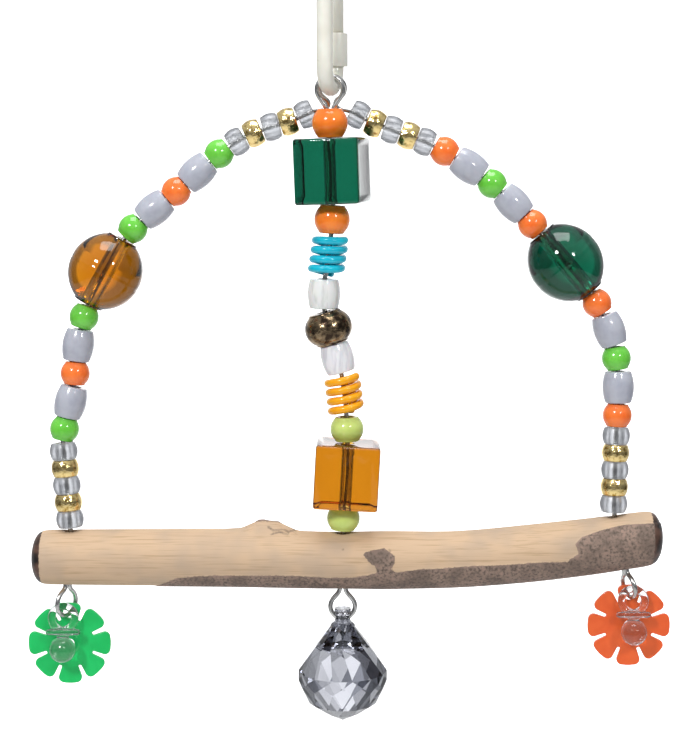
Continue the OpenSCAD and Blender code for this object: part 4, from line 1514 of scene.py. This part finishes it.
def signed_distance(spot: Point, outline: Sequence[Point]) -> float:
    """Gives how far a point lies inside a closed outline.

    Args:
        spot: the point.
        outline: the outline's corners.

    Returns:
        The distance to the outline, below zero outside it.
    """
    closed = list(outline) + [outline[0]]
    inside = False
    x, y = spot
    for (ax, ay), (bx, by) in zip(closed, closed[1:]):
        if (ay > y) != (by > y) and x < ax + (y - ay) * (bx - ax) / (by - ay):
            inside = not inside
    distance = distance_to_line(spot, closed)
    return distance if inside else -distance


@dataclass
class Studio:
    """The pale floor and backdrop, the soft lights and the camera."""

    viewpoint: Viewpoint
    floor_drop: float = 0.55
    reach: float = 2.0
    back: float = 1.0
    wall: float = 2.2
    turn_r: float = 0.3
    turn_segments: int = 24
    room_light: float = 0.85
    # Each light's name, place, size and power.
    lights: tuple[tuple[str, tuple[float, float, float], float, float], ...] = (
        ("key_softbox", (-0.5, -0.9, 0.5), 0.16, 6.6),
        ("second_softbox", (0.5, -0.95, 0.4), 0.12, 2.9),
        ("top_softbox", (0.0, -0.1, 0.9), 0.6, 6.4),
    )

    def build(self) -> None:
        """Sets up the stage, the lights, the world and the camera."""
        self.backdrop()
        for light in self.lights:
            self.light(*light)
        self.world()
        self.viewpoint.make_camera()
        bpy.context.scene.view_settings.view_transform = "Standard"

    def backdrop(self) -> None:
        """Bends one sheet from the floor up into the back wall."""
        floor_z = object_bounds()[0].z - self.floor_drop
        select_only()
        bpy.ops.mesh.primitive_plane_add(size=2 * self.reach)
        sheet = bpy.context.object
        sheet.name = "backdrop"
        with editing(sheet, everything=False) as mesh:
            for edge in mesh.edges:
                edge.select_set(all(v.co.y > 0 for v in edge.verts))
            bmesh.update_edit_mesh(sheet.data)
            bpy.ops.mesh.extrude_region_move(TRANSFORM_OT_translate={"value": (0, 0, self.wall)})
        modify(
            sheet, "BEVEL", width=self.turn_r, segments=self.turn_segments, limit_method="ANGLE"
        )
        sheet.location = (0, self.back - self.reach, floor_z)
        select_only(sheet)
        bpy.ops.object.shade_smooth()
        sheet.data.materials.append(LitSheet("white_acrylic_sheet").material())
        sheet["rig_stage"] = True

    def light(
        self, name: str, place: tuple[float, float, float], size: float, power: float
    ) -> None:
        """Adds a soft light that looks at the middle of the swing.

        Args:
            name: the light's name.
            place: where it stands.
            size: the side of its square.
            power: its power in watts.
        """
        lamp = bpy.data.lights.new(name, "AREA")
        lamp.size = size
        lamp.energy = power
        item = bpy.data.objects.new(name, lamp)
        item.location = place
        low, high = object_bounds()
        aim = (low + high) / 2 - Vector(place)
        item.rotation_euler = aim.to_track_quat("-Z", "Y").to_euler()
        bpy.context.scene.collection.objects.link(item)

    def world(self) -> None:
        """Fills the room with a grey light, paler from above, that clear pieces can mirror."""
        world = bpy.data.worlds.new("studio")
        world.use_nodes = True
        tree = world.node_tree
        place = add_node(tree, "TexCoord").outputs["Generated"]
        height = add_node(tree, "SeparateXYZ", {"Vector": place}).outputs["Z"]
        share = add_node(tree, "MapRange", {"Value": height, "From Min": -0.6, "From Max": 0.8})
        stops = [(0.0, "#3C3E42"), (0.45, "#77797D"), (1.0, "#D9DCE0")]
        tone = add_node(tree, "ValToRGB", {"Fac": share}, stops=stops)
        background = tree.nodes["Background"]
        tree.links.new(tone.outputs["Color"], background.inputs["Color"])
        background.inputs["Strength"].default_value = self.room_light
        bpy.context.scene.world = world


def main() -> None:
    """Builds every sub-assembly in order."""
    logging.basicConfig(level=logging.INFO, format="%(name)s %(message)s")
    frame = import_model()
    shop = Workshop(frame)
    viewpoint = Viewpoint()
    Beads(shop).build()
    Cubes(shop).build()
    Coils(shop).build()
    Wires(shop).build()
    Link(shop).build()
    CutDrop(shop).build()
    Hangers(shop).build()
    Perch(shop, viewpoint).build()
    Studio(viewpoint).build()
    LOG.info("%d pieces made", shop.count)


if __name__ == "__main__":
    main()
